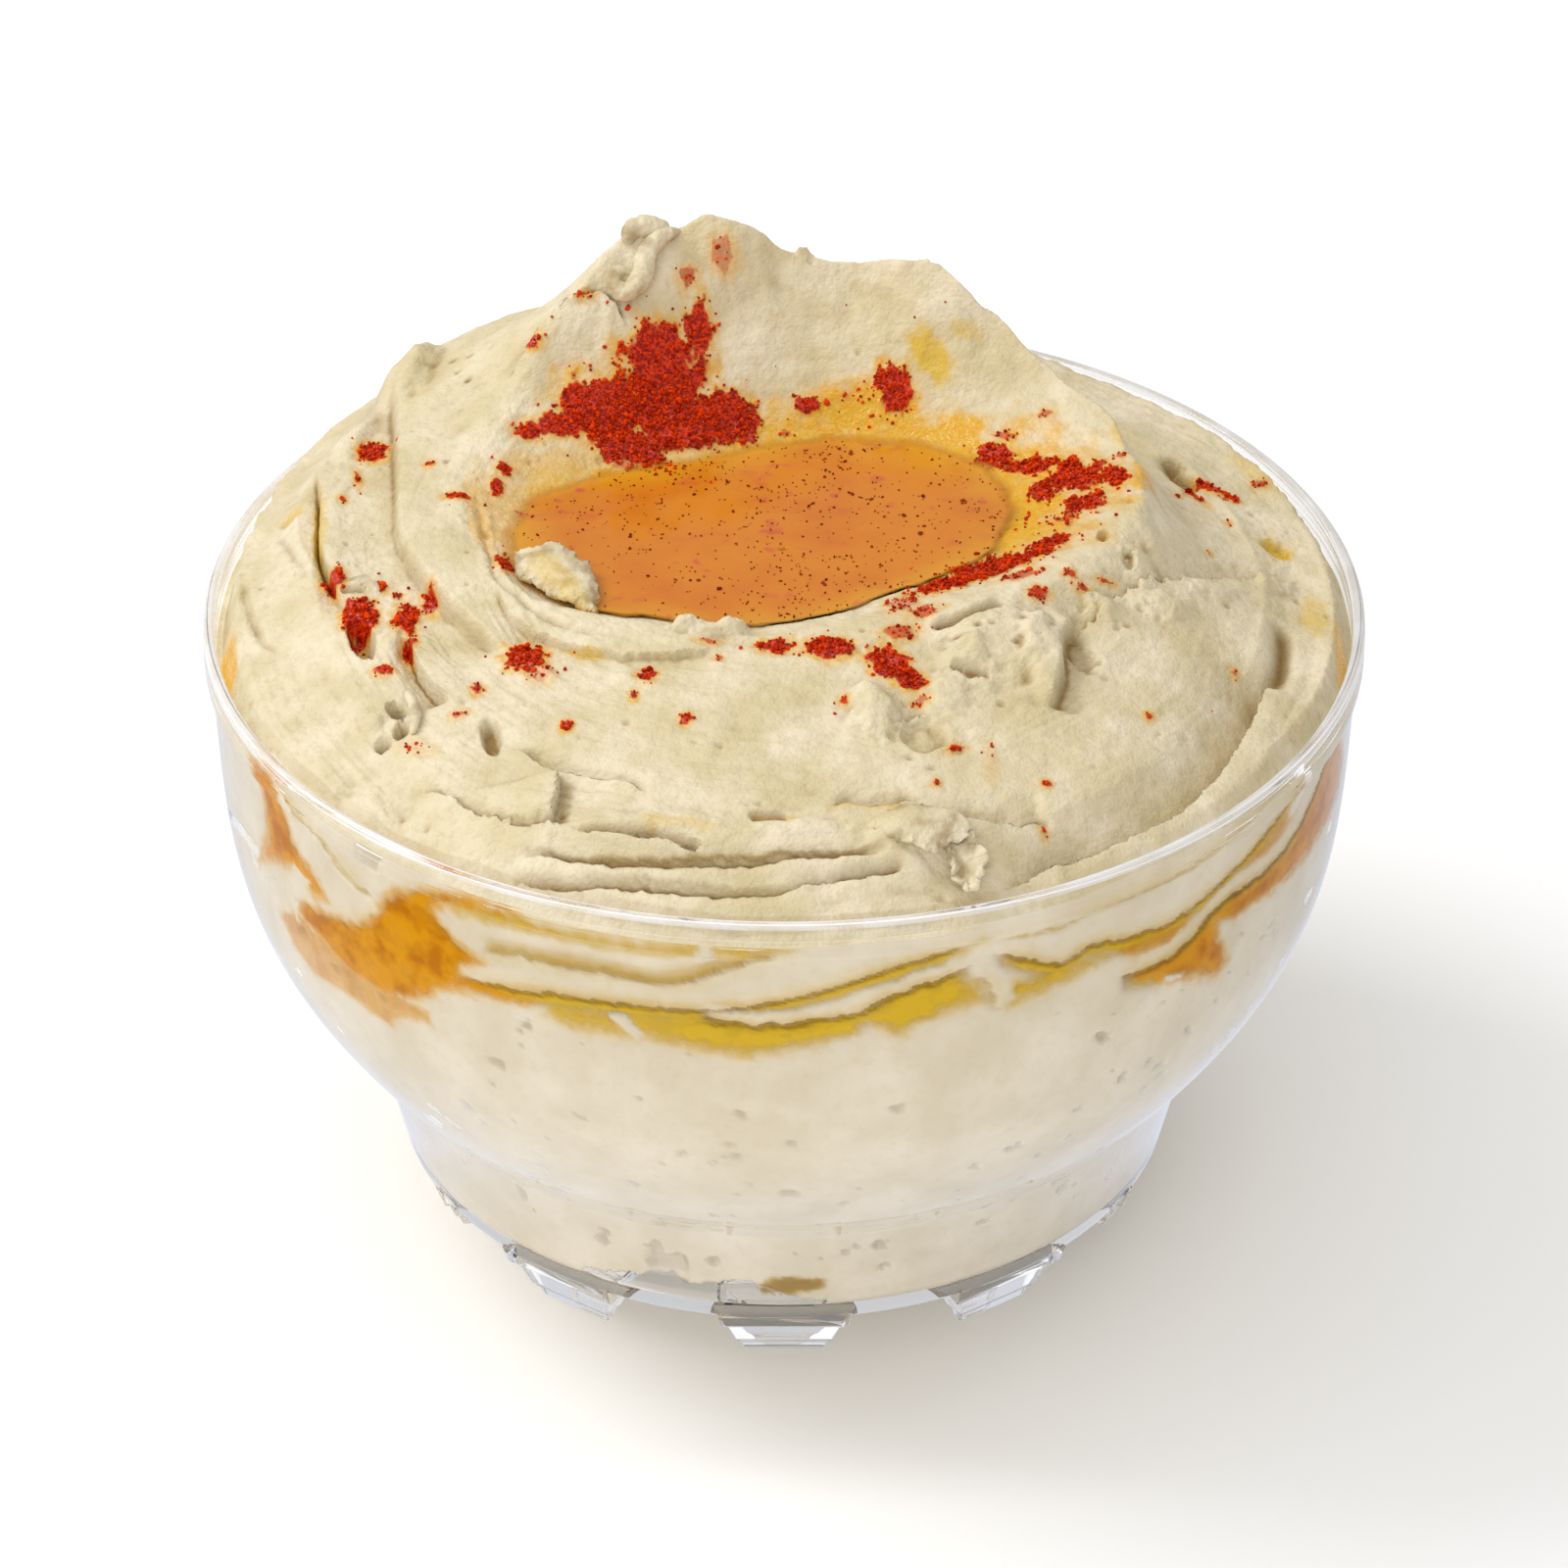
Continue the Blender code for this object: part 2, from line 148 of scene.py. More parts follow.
# What the spoon left on the top. Lines are spots of the plan.
Ledge = namedtuple("Ledge", "line rise sink edge reach ragged overhang")
Groove = namedtuple("Groove", "line depth width lip ragged")
Lump = namedtuple("Lump", "x y long short turn rise rough")

LEDGES = (                    # the raised side is on the left of the line's direction
    # thin outer lip on the right, above its long dark furrow
    Ledge(((52.0, -15), (50.8, -22), (48.2, -30), (44.6, -38), (39.6, -44.4), (33, -49.6),
           (27, -52.8), (21.5, -55.2)), 1.1, 3.2, 0.5, 4.4, 0.22, 0.8),
    # spoon's plate on the left of the front, with its step
    Ledge(((-24.0, -49.0), (-23.4, -45.5), (-23.2, -42.0)), 1.4, 0.6, 0.25, 5.0, 0.08, 0.4),
    Ledge(((-14.0, -45.4), (-18.5, -43.7), (-23.0, -41.5), (-25.4, -39.8), (-27.4, -36.6)),
          0.2, 1.5, 0.25, 1.8, 0.15, 0.4),
    # ribbons that sweep down the left flank
    Ledge(((-43.0, 30), (-42.4, 20), (-41.8, 10), (-41.2, 0), (-38.4, -8), (-33.4, -16.5),
           (-28.0, -23.5)), 0.8, 1.5, 1.1, 5.0, 0.15, 0.2),
    Ledge(((-50.8, 17), (-50.0, 9), (-49.7, 1.5), (-48.7, -4), (-47.2, -8.6), (-45.6, -12.6)),
          0.8, 1.1, 0.35, 3.0, 0.12, 0.5),
    Ledge(((-39.6, -17.0), (-38.3, -21), (-37.0, -24.4), (-34.6, -28.4)), 0.7, 1.9, 0.3, 2.2, 0.15, 0.5),
    Ledge(((-30.8, -11), (-28.4, -17.5), (-22, -22.4), (-15, -24.6), (-6, -24.2)),
          0.3, 0.7, 0.4, 2.4, 0.3, 0.3),
    # torn edge on the crest, high on the left
    Ledge(((-17.0, 24.6), (-20.5, 26.4), (-24.5, 25.0), (-27.5, 23.0), (-30.0, 20.6)),
          1.0, 0.7, 0.35, 2.6, 0.35, 0.6),
    # ridge that runs right from the crater's lip
    Ledge(((57, 3.0), (53, 2.0), (48, -1.2), (44, -5.6), (39.5, -9.4), (35.5, -13.6),
           (32.5, -18.2), (29.6, -21.0)), -0.1, 1.2, 0.5, 4.0, 0.6, 0.5),
    # hanging nose of the clump on the right of the front
    Ledge(((27.4, -32.0), (28.8, -27.0), (28.9, -22.0), (30.6, -18.0)), 0.9, 1.1, 0.5, 2.8, 0.2, 0.4),
    Ledge(((15.0, -34.5), (12.4, -35.4), (11.6, -39.0)), 0.5, 0.8, 0.4, 2.6, 0.2, 0.2),
    # shelf behind the curled flake
    Ledge(((27.5, -47.0), (22.5, -49.0), (17.5, -49.8)), 0.2, 1.3, 0.4, 3.0, 0.25, 0.4),
    Ledge(((14, -47.0), (10, -48.6), (5, -48.0)), 0.5, 1.5, 0.4, 2.4, 0.3, 0.5),
    # lumpy roll in front of the plate
    Ledge(((-22, -49.8), (-26.5, -48.6), (-31, -45.8), (-34.5, -42.4), (-37.5, -39.6)),
          0.7, 0.5, 0.4, 3.0, 0.5, 0.4),
    # thin layers that lie on each other at the front
    Ledge(((11.6, -53.6), (6, -54.2), (0, -54.4), (-8, -54.6), (-15, -54.1), (-21, -52.9), (-28, -50.6)),
          0.8, 0.7, 0.22, 1.7, 0.2, 0.6),
    Ledge(((12.4, -54.9), (6, -56.2), (0, -57.2), (-8, -57.0), (-16, -55.8), (-23, -54.4)),
          0.5, 0.3, 0.22, 1.2, 0.25, 0.5),
)
GROOVES = (
    Groove(((-26, -51.2), (-20, -53.2), (-14, -54.3), (-8, -54.8), (0, -54.6), (10.8, -53.8)),
           2.1, 0.34, 0.1, 0.1),
    Groove(((-29, -51.6), (-24, -53.9), (-17, -55.7), (-9, -57.0), (-2, -57.3), (3, -56.6)),
           1.2, 0.34, 0.2, 0.1),
    Groove(((5.0, -56.0), (7.5, -55.7), (9.5, -55.2), (12.4, -54.6)), 2.2, 0.36, 0.2, 0.06),
    Groove(((-22, -50.0), (-16, -50.9), (-12, -51.9), (-8, -53.0)), 0.9, 0.4, 0.2, 0.3),
    Groove(((-50.4, 13), (-50.0, 6), (-49.8, 0.5), (-48.8, -4), (-47.2, -8.6)), 1.5, 0.4, 0.0, 0.15),
    Groove(((-55, 8), (-52.6, 1.0), (-50.6, -4.5)), 0.35, 0.4, 0.1, 0.1),
    Groove(((-58.6, 3), (-57.4, -4), (-55.4, -11), (-53.0, -14)), 0.45, 0.4, 0.1, 0.1),
    Groove(((-33.2, 6), (-31.5, -5), (-29.5, -12.6), (-23, -19.6), (-15, -22.4)), 0.4, 0.4, 0.1, 0.2),
    Groove(((15.0, -22.2), (19.5, -20.8), (23.4, -18.0)), 1.3, 0.6, 0.3, 0.1),
    Groove(((42.6, 27), (43.2, 22.5), (45.6, 19.0)), 1.8, 0.9, 0.2, 0.3),
    Groove(((53.3, -6.0), (52.9, -13), (51.6, -20)), 1.3, 0.9, 0.2, 0.1),
    Groove(((-3.6, -49.8), (0.5, -49.6)), 1.2, 0.5, 0.2, 0.15),
    Groove(((-22.5, -42.3), (-18.0, -44.2), (-14.6, -45.6)), -0.5, 0.35, 0.0, 0.1),
)
LUMPS = tuple(Lump(*row) for row in (  # a rise below zero is a hollow
    # crest
    (2.2, 35.2, 1.3, 1.1, 0, 1.0, 0.5), (16.8, 34.4, 1.6, 1.4, 0, 0.8, 0.4),
    (-6.2, 34.6, 5.6, 4.4, 0, 2.6, 0.12), (-42.0, 31.0, 6.5, 3.6, 80, 2.6, 0.15),
    (-47.6, 22.0, 6.0, 2.4, 75, 1.0, 0.2),
    # clump on the right of the front
    (22.5, -24.0, 6.6, 5.0, 60, 1.7, 0.35), (27.0, -25.4, 2.3, 6.0, 4, 1.4, 0.3),
    (18.4, -26.6, 3.0, 2.4, 20, 0.9, 0.4), (17.0, -31.5, 2.6, 3.2, 0, 0.7, 0.4),
    (9.6, -34.2, 3.0, 4.6, 15, 1.7, 0.4), (14.4, -37.4, 2.6, 2.8, 30, -1.3, 0.25),
    (19.8, -28.6, 1.8, 0.8, -10, -1.1, 0.3), (31.0, -22.6, 1.6, 3.4, 30, -1.0, 0.4),
    (18.0, -28.2, 0.7, 0.5, 0, -1.3, 0.3), (33.5, -16.0, 2.6, 2.0, 40, 1.1, 0.6),
    # ridge on the right
    (37.8, -8.6, 2.2, 2.8, 0, 0.9, 0.5), (36.6, -8.0, 0.8, 1.5, 0, -0.9, 0.3),
    (40.5, -13.0, 3.4, 2.0, 40, 0.7, 0.6), (46.5, -5.6, 4.0, 1.8, 40, 0.6, 0.6),
    (53.0, 1.6, 3.0, 1.6, 40, 0.8, 0.6), (34.0, -5.2, 0.7, 1.2, 0, -0.9, 0.3),
    # holes and their lips on the left of the front
    (-40.4, -28.4, 0.95, 1.5, 25, -4.0, 0.15), (-39.7, -31.4, 0.8, 1.5, -15, -1.8, 0.2),
    (-41.6, -32.6, 0.9, 0.9, 0, -2.4, 0.2), (-42.6, -29.6, 1.6, 1.2, 50, 0.9, 0.4),
    (-30.3, -34.4, 1.1, 3.0, 8, -1.5, 0.16), (-44.6, -16.4, 1.3, 3.4, 16, -2.8, 0.3),
    (-45.6, -8.8, 1.2, 0.6, 10, -1.6, 0.25), (-41.4, -17.6, 1.3, 2.6, 10, 0.7, 0.4),
    (-14.0, -51.6, 1.7, 0.6, -10, -1.6, 0.25), (-9.4, -52.9, 0.9, 0.5, 0, -2.8, 0.15),
    (53.6, 9.6, 1.6, 2.0, 20, -1.1, 0.2), (-53.4, 9.2, 1.6, 1.2, 0, -0.5, 0.2),
    (-35.0, 2.0, 2.0, 2.6, 20, 0.4, 0.5), (-43.0, -40.0, 4.0, 2.0, -50, 0.5, 0.6),
    (-12.0, -49.8, 7.0, 1.6, -4, 0.6, 0.6), (2.0, -51.6, 7.0, 1.4, 3, 0.6, 0.6),
    # nubs on the pool's front edge, and the mound under the curled flake
    (-10.4, -20.4, 1.8, 1.3, 5, 1.1, 0.3), (-5.2, -20.4, 1.8, 1.3, -5, 1.0, 0.3),
    (-7.8, -20.8, 3.8, 1.2, 0, 0.8, 0.3), (12.6, -52.6, 4.4, 2.4, -8, 1.4, 0.25),
    (12.4, -55.0, 3.0, 1.2, 0, 0.8, 0.2), (16.6, -51.2, 3.0, 2.2, 0, 0.9, 0.2),
))

# Bits torn from the swirl. A sheet's rows run side by side along it; a rope has a radius at each end
# of its path and one in the middle.
Sheet = namedtuple("Sheet", "rows thickness")
Rope = namedtuple("Rope", "path radii")

SHEETS = (
    # curled flake: its flap, and the tail that hangs to the rim
    Sheet((
        ((8.4, -50.9, 75.9), (10.5, -49.7, 76.5), (12.6, -48.6, 76.7), (14.8, -49.0, 76.6),
         (16.9, -49.4, 76.4), (18.8, -50.8, 75.9)),
        ((9.2, -52.0, 76.4), (11.1, -51.7, 77.1), (13.1, -51.3, 77.4), (15.1, -51.4, 77.2),
         (17.2, -51.1, 76.9), (19.0, -51.8, 76.0)),
        ((10.4, -52.9, 76.0), (11.5, -53.8, 76.3), (13.3, -54.4, 75.8), (15.0, -54.6, 75.2),
         (16.5, -53.5, 75.4), (18.0, -52.8, 75.4)),
    ), 0.9),
    Sheet((
        ((16.3, -53.2, 75.2), (16.5, -54.2, 74.6), (16.9, -55.3, 73.8), (17.6, -56.4, 73.0),
         (18.5, -57.6, 72.4)),
        ((17.5, -51.8, 75.2), (17.9, -53.3, 74.0), (18.3, -54.7, 73.2), (18.7, -56.1, 72.4),
         (18.9, -57.4, 72.2)),
        ((18.6, -50.9, 75.9), (20.0, -52.6, 75.2), (20.3, -54.4, 74.4), (20.0, -56.2, 73.4),
         (19.2, -57.6, 72.4)),
    ), 0.8),
    # thick flap that leans into the pool
    Sheet((
        ((-28.4, -6.9, 81.6), (-26.6, -7.4, 82.3), (-24.2, -6.9, 82.5), (-22.4, -8.3, 82.2),
         (-20.7, -9.4, 81.8), (-20.0, -12.0, 81.2), (-19.4, -15.8, 80.5)),
        ((-28.4, -8.6, 81.9), (-26.9, -9.6, 82.3), (-24.9, -10.2, 82.4), (-23.1, -11.6, 82.1),
         (-21.4, -12.8, 81.6), (-20.4, -14.4, 81.1), (-19.6, -16.6, 80.5)),
        ((-28.6, -10.2, 81.2), (-27.4, -11.6, 81.2), (-25.8, -13.4, 81.2), (-23.8, -15.2, 81.2),
         (-22.0, -16.6, 81.1), (-20.8, -17.3, 80.9), (-19.8, -17.6, 80.5)),
    ), 1.5),
)
ROPES = (
    # curled knob on the crest
    Rope(((-11.4, 33.2, 98.8), (-13.3, 31.6, 99.0), (-14.7, 30.2, 98.4), (-15.2, 29.0, 97.4),
          (-15.5, 27.9, 96.3), (-16.2, 27.0, 95.5), (-17.4, 26.4, 95.1), (-18.5, 26.7, 95.7),
          (-18.3, 27.5, 96.6), (-17.2, 27.9, 97.0)), (0.9, 1.25, 0.8)),
    Rope(((-12.6, 33.0, 99.0), (-14.4, 32.6, 99.6), (-16.4, 31.8, 99.8), (-17.4, 30.6, 98.6)),
         (0.9, 1.3, 0.8)),
    # strands across the holes
    Rope(((-39.6, -26.2, 76.6), (-38.7, -28.4, 76.5), (-38.3, -30.6, 76.1), (-38.6, -32.8, 75.4)),
         (0.5, 0.65, 0.4)),
    Rope(((-47.6, -8.2, 77.5), (-46.2, -7.3, 78.1), (-44.8, -7.3, 78.3), (-43.6, -8.4, 78.1),
          (-43.0, -10.0, 77.6)), (0.5, 0.75, 0.5)),
)


def around(stations, angles):
    """Smooth values at some angles, read from stations that go once round."""
    at = np.array([station[0] for station in stations], float)
    values = np.array([station[1:] for station in stations], float)
    spots = np.concatenate([at - 360.0, at, at + 360.0])
    rows = np.concatenate([values] * 3)
    slopes = np.empty_like(rows)
    slopes[1:-1] = (rows[2:] - rows[:-2]) / (spots[2:] - spots[:-2])[:, None]
    slopes[[0, -1]] = slopes[[1, -2]]
    turn = np.mod(angles, 360.0)
    i = np.searchsorted(spots, turn, side="right") - 1
    span = (spots[i + 1] - spots[i])[..., None]
    t = (turn - spots[i])[..., None] / span
    ease = t * t * (3.0 - 2.0 * t)
    out = rows[i] * (1.0 - ease) + rows[i + 1] * ease
    out += span * (slopes[i] * t * (1.0 - t) ** 2 - slopes[i + 1] * t * t * (1.0 - t))
    return np.moveaxis(out, -1, 0) if out.shape[-1] > 1 else out[..., 0]


def step(low, high, value):
    """Eases from 0 at low to 1 at high."""
    t = np.clip((value - low) / (high - low), 0.0, 1.0)
    return t * t * (3.0 - 2.0 * t)


def unit(vectors):
    """The same directions with a length of one."""
    return vectors / np.maximum(np.linalg.norm(vectors, axis=-1, keepdims=True), 1e-12)


def spline(a, b, c, d, t):
    """A smooth curve from b to c, at shares t of the way."""
    bend = (2.0 * a - 5.0 * b + 4.0 * c - d) * t**2 + (3.0 * b - a - 3.0 * c + d) * t**3
    return 0.5 * (2.0 * b + (c - a) * t + bend)


def run_on(points):
    """The points with one more at each end, straight on."""
    given = np.asarray(points, float)
    return np.concatenate([2.0 * given[:1] - given[1:2], given, 2.0 * given[-1:] - given[-2:-1]])


def soft_min(a, b, blend):
    """The smaller value, with the corner between the two rounded."""
    overlap = np.clip(blend - np.abs(a - b), 0.0, None) / blend
    return np.minimum(a, b) - overlap * overlap * blend * 0.25


class Relief:
    """Smooth random relief in space, the same on every run."""

    CELLS = 32

    def __init__(self, seed):
        random = np.random.default_rng(seed)
        self.slopes = unit(random.normal(size=(self.CELLS, self.CELLS, self.CELLS, 3)))

    def at(self, x, y, z):
        spot = np.stack(np.broadcast_arrays(x, y, z), -1).astype(float)
        cell = np.floor(spot).astype(int)
        part = spot - cell
        ease = part**3 * (part * (part * 6.0 - 15.0) + 10.0)
        total = 0.0
        for corner in np.ndindex(2, 2, 2):
            corner = np.array(corner)
            i, j, k = np.moveaxis((cell + corner) % self.CELLS, -1, 0)
            pull = (self.slopes[i, j, k] * (part - corner)).sum(-1)
            weight = np.where(corner == 1, ease, 1.0 - ease).prod(-1)
            total = total + pull * weight
        return total * 1.6

    def layered(self, x, y, z=0.0, layers=3, fade=0.5):
        total, size = 0.0, 1.0
        for layer in range(layers):
            grow = 2.03**layer
            total = total + size * self.at(x * grow + 7.3 * layer, y * grow, z * grow)
            size *= fade
        return total


BROAD = Relief(11)
FINE = Relief(23)


# ---------------------------------------------------------------- the bowl's wall


def bezier(start, handle, second_handle, end, count):
    """Points of a cubic curve, with both ends."""
    t = np.linspace(0.0, 1.0, count + 1)[:, None]
    s = 1.0 - t
    start, handle, second_handle, end = map(np.array, (start, handle, second_handle, end))
    return start * s**3 + 3 * handle * t * s * s + 3 * second_handle * t * t * s + end * t**3


def belly_curve():
    """The belly's outer face from the top down, as (radius, height)."""
    rise = BELLY_TOP - STEP_HEIGHT
    spread = BELLY_RADIUS - STEP_RADIUS
    return bezier(
        (BELLY_RADIUS, BELLY_TOP),
        (BELLY_RADIUS - 0.05 * spread, BELLY_TOP - 0.42 * rise),
        (STEP_RADIUS + 0.89 * spread, STEP_HEIGHT + 0.42 * rise),
        (STEP_RADIUS, STEP_HEIGHT),
        BELLY_POINTS,
    )


def inner_belly():
    """The belly's inner face from the bottom up."""
    belly = belly_curve()
    along = unit(np.gradient(belly, axis=0))
    return (belly + WALL * np.stack([along[:, 1], -along[:, 0]], 1))[::-1]


FLOOR = BASE_HEIGHT + BASE_THICKNESS
INNER_FACE = np.vstack([
    (BASE_RADIUS - WALL - 1.2, FLOOR),
    (BASE_RADIUS - WALL - 0.2, FLOOR + 0.35),
    (BASE_RADIUS - WALL + 0.2, FLOOR + 1.2),
    inner_belly(),
    (RIM_RADIUS - WALL - 0.1, RIM_HEIGHT - COLLAR_HEIGHT),
    (RIM_RADIUS - WALL, RIM_HEIGHT - 0.6),
])


def wall_radius(height):
    """Radius of the bowl's inner face at a height."""
    return np.interp(height, INNER_FACE[:, 1], INNER_FACE[:, 0])


# ---------------------------------------------------------------- the food's top


def smooth_line(points, spacing=0.8):
    """Finer points on a curve through the given ones."""
    given = run_on(points)
    made = []
    for a, b, c, d in zip(given, given[1:], given[2:], given[3:]):
        count = max(2, int(np.hypot(*(c - b)) / spacing))
        t = np.linspace(0.0, 1.0, count, endpoint=False)[:, None]
        made.append(spline(a, b, c, d, t))
    made.append(given[-2:-1])
    return np.vstack(made)


def beside(x, y, line):
    """Distance from a line, positive on its left, and how far along it, from 0 to 1."""
    nearest = np.full(x.shape, np.inf)
    side = np.ones(x.shape)
    share = np.zeros(x.shape)
    count = len(line) - 1
    for i in range(count):
        (ax, ay), (bx, by) = line[i], line[i + 1]
        ux, uy = bx - ax, by - ay
        t = np.clip(((x - ax) * ux + (y - ay) * uy) / (ux * ux + uy * uy), 0.0, 1.0)
        gap = np.hypot(x - ax - t * ux, y - ay - t * uy)
        closer = gap < nearest
        nearest = np.where(closer, gap, nearest)
        left = ux * (y - ay) - uy * (x - ax)
        side = np.where(closer, np.where(left < 0.0, -1.0, 1.0), side)
        share = np.where(closer, (i + t) / count, share)
    return nearest * side, share


def near_line(x, y, line, margin):
    """Which spots lie in the box round a line."""
    low, high = line.min(0) - margin, line.max(0) + margin
    return np.nonzero((x > low[0]) & (x < high[0]) & (y > low[1]) & (y < high[1]))[0]


def near_spot(x, y, middle_x, middle_y, margin):
    """Which spots lie in the box round a spot."""
    return np.nonzero((np.abs(x - middle_x) < margin) & (np.abs(y - middle_y) < margin))[0]


def spot_in(patch, x, y, ragged):
    """Distance from a patch's middle as a share of its outline, 1 on the outline."""
    turn = math.radians(patch.turn)
    dx, dy = x - patch.x, y - patch.y
    along = (dx * math.cos(turn) + dy * math.sin(turn)) / patch.long
    across = (dy * math.cos(turn) - dx * math.sin(turn)) / patch.short
    grain = 0.225 * (patch.long + patch.short) + 0.35
    uneven = BROAD.layered(x / grain, y / grain, patch.x, layers=3)
    return np.hypot(along, across) + 0.6 * ragged * uneven


def reach_to_wall(angle, height):
    """Distance from the crater's middle to the bowl's inner face."""
    radius = wall_radius(height) + INTO_WALL
    ux, uy = np.cos(np.radians(angle)), np.sin(np.radians(angle))
    along = CRATER[0] * ux + CRATER[1] * uy
    return -along + np.sqrt(along**2 - CRATER[0] ** 2 - CRATER[1] ** 2 + radius**2)


FURROW = (                    # angle, depth of the furrow between the swirl and the wall
    (0, 1.0), (30, 0.4), (60, 0.2), (90, 0.3), (120, 0.6), (150, 1.0), (180, 0.8), (210, 0.3),
    (240, 0.3), (270, 0.2), (300, 0.4), (330, 0.6),
)
STREAKS = (                   # angle, depth of the fine drag lines on the flank
    (0, 0.04), (40, 0.10), (90, 0.10), (130, 0.08), (165, 0.05), (200, 0.10), (240, 0.10),
    (270, 0.11), (300, 0.08), (330, 0.08),
)


def edge_height(angle):
    """Height of the line where the food meets the wall."""
    turn = np.radians(angle)
    wander = BROAD.layered(4.0 * np.cos(turn), 4.0 * np.sin(turn), 5.0)
    return around(EDGE, angle) - around(GAP, angle)[1] + 0.5 * wander


class Top:
    """The food's top over spots of the plan: its height, its overhangs and what paints it."""

    def __init__(self, x, y):
        self.x, self.y = x, y
        dx, dy = x - CRATER[0], y - CRATER[1]
        self.distance = np.hypot(dx, dy)
        self.angle = np.degrees(np.arctan2(dy, dx))
        self.shift = np.zeros((2,) + x.shape)
        self.painted_crease_shade = np.zeros(x.shape)
        self.height = self.main_form()
        for ledge in LEDGES:
            self.add_ledge(ledge)
        for groove in GROOVES:
            self.add_groove(groove)
        for lump in LUMPS:
            self.add_lump(lump)
        self.add_streaks()
        self.add_spice_crust()
        self.add_grain()
        self.close_to_wall()

    def main_form(self):
        pool = around(POOL_EDGE, self.angle)
        crest, crest_height, steepness = around(CREST, self.angle)
        shoulder, shoulder_height = around(SHOULDER, self.angle)
        self.edge = edge_height(self.angle)
        self.reach = reach_to_wall(self.angle, self.edge)
        self.gap, drop = around(GAP, self.angle)
        skirt_edge = self.edge + drop
        distance = self.distance
        wander = 0.9 * BROAD.layered(self.x / 7.0, self.y / 7.0, 2.0)
        crest = crest + wander
        rise = np.clip((distance - pool) / np.maximum(crest - pool, 1.0), 0.0, 1.4)
        bowl = POOL_LEVEL - POOL_DEPTH * (1.0 - np.clip(distance / pool, 0.0, 1.0) ** 2)
        inside = np.where(
            distance < pool, bowl, POOL_LEVEL + (crest_height - POOL_LEVEL) * rise**1.2
        )
        fall = np.clip((distance - crest) / (shoulder - crest), -0.3, 1.0)
        flank = shoulder_height + (crest_height - shoulder_height) * np.abs(1.0 - fall) ** steepness
        out = np.clip((distance - shoulder) / (self.reach - shoulder), 0.0, 1.0)
        furrow = around(FURROW, self.angle) * np.sin(np.pi * np.clip(out * 1.3, 0.0, 1.0))
        skirt = shoulder_height + (skirt_edge - shoulder_height) * out - furrow
        outside = np.where(distance < shoulder, flank, skirt)
        self.rise, self.crest = rise, crest
        return soft_min(inside, outside, 1.5)

    def add_ledge(self, ledge):
        line = smooth_line(ledge.line)
        pick = near_line(self.x, self.y, line, ledge.reach * 2.0 + 1.0)
        x, y = self.x[pick], self.y[pick]
        side, share = beside(x, y, line)
        side = side + ledge.ragged * BROAD.layered(x * 0.9, y * 0.9, ledge.reach, layers=3)
        taper = step(0.0, 0.12, share) * step(1.0, 0.86, share)
        fade = np.exp(-((side / ledge.reach) ** 2)) * taper
        up = step(-0.5 * ledge.edge, 0.5 * ledge.edge, side)
        self.height[pick] += fade * (ledge.rise * up - ledge.sink * (1.0 - up))
        if ledge.overhang:
            lip = np.exp(-(((side - 0.35) / 0.5) ** 2)) * taper * ledge.overhang
            near = np.clip((share * (len(line) - 1)).astype(int), 0, len(line) - 2)
            run = unit(line[near + 1] - line[near])
            self.shift[0][pick] += run[:, 1] * lip
            self.shift[1][pick] -= run[:, 0] * lip
            # painted shade just beyond the overhang, at the ledge's foot
            foot = np.exp(-(((side + ledge.overhang) / FOOT_SHADE_WIDTH) ** 2)) * taper
            foot *= min(1.0, 1.5 * ledge.overhang) * min(1.0, 0.7 * (ledge.rise + ledge.sink))
            self.painted_crease_shade[pick] = np.maximum(self.painted_crease_shade[pick], foot)

    def add_groove(self, groove):
        line = smooth_line(groove.line)
        pick = near_line(self.x, self.y, line, groove.width * 5.0 + 1.0)
        x, y = self.x[pick], self.y[pick]
        side, share = beside(x, y, line)
        side = side + groove.ragged * FINE.layered(x * 0.8, y * 0.8, 1.0)
        taper = step(0.0, 0.18, share) * step(1.0, 0.82, share)
        deep = np.exp(-((side / groove.width) ** 2))
        lip = np.exp(-(((np.abs(side) - 2.2 * groove.width) / groove.width) ** 2))
        self.height[pick] += taper * (groove.lip * lip - groove.depth * deep)
        # painted shade along the bottom of a deep groove
        bottom = np.exp(-((side / groove.width) ** 2)) * taper * np.clip(groove.depth - 0.3, 0.0, 1.0)
        self.painted_crease_shade[pick] = np.maximum(self.painted_crease_shade[pick], bottom)

    def add_lump(self, lump):
        margin = 2.0 * max(lump.long, lump.short)
        pick = np.nonzero(np.hypot(self.x - lump.x, self.y - lump.y) < margin)[0]
        share = spot_in(lump, self.x[pick], self.y[pick], lump.rough)
        start, end = (0.35, 1.15) if lump.rise > 0.0 else (0.62, 1.05)
        self.height[pick] += lump.rise * (1.0 - step(start, end, share))

    def add_streaks(self):
        """Drag lines that follow the spoon round the crater."""
        across = self.distance + self.angle * 0.012
        along = np.radians(self.angle) * self.distance
        lines = FINE.layered(across * 0.85, along * 0.06, 3.0, layers=3, fade=0.6)
        patchy = 0.35 + 0.65 * step(-0.25, 0.3, BROAD.at(self.x / 8.0, self.y / 8.0, 1.0))
        depth = around(STREAKS, self.angle) * patchy * step(0.0, 0.3, self.rise)
        self.height += depth * lines * 1.6

    def add_spice_crust(self):
        self.dust, self.stain = spice_cover(self.x, self.y)
        crust = 0.5 + 0.5 * FINE.layered(self.x / 0.8, self.y / 0.8, 4.0, layers=2)
        self.height += 0.38 * self.dust * crust

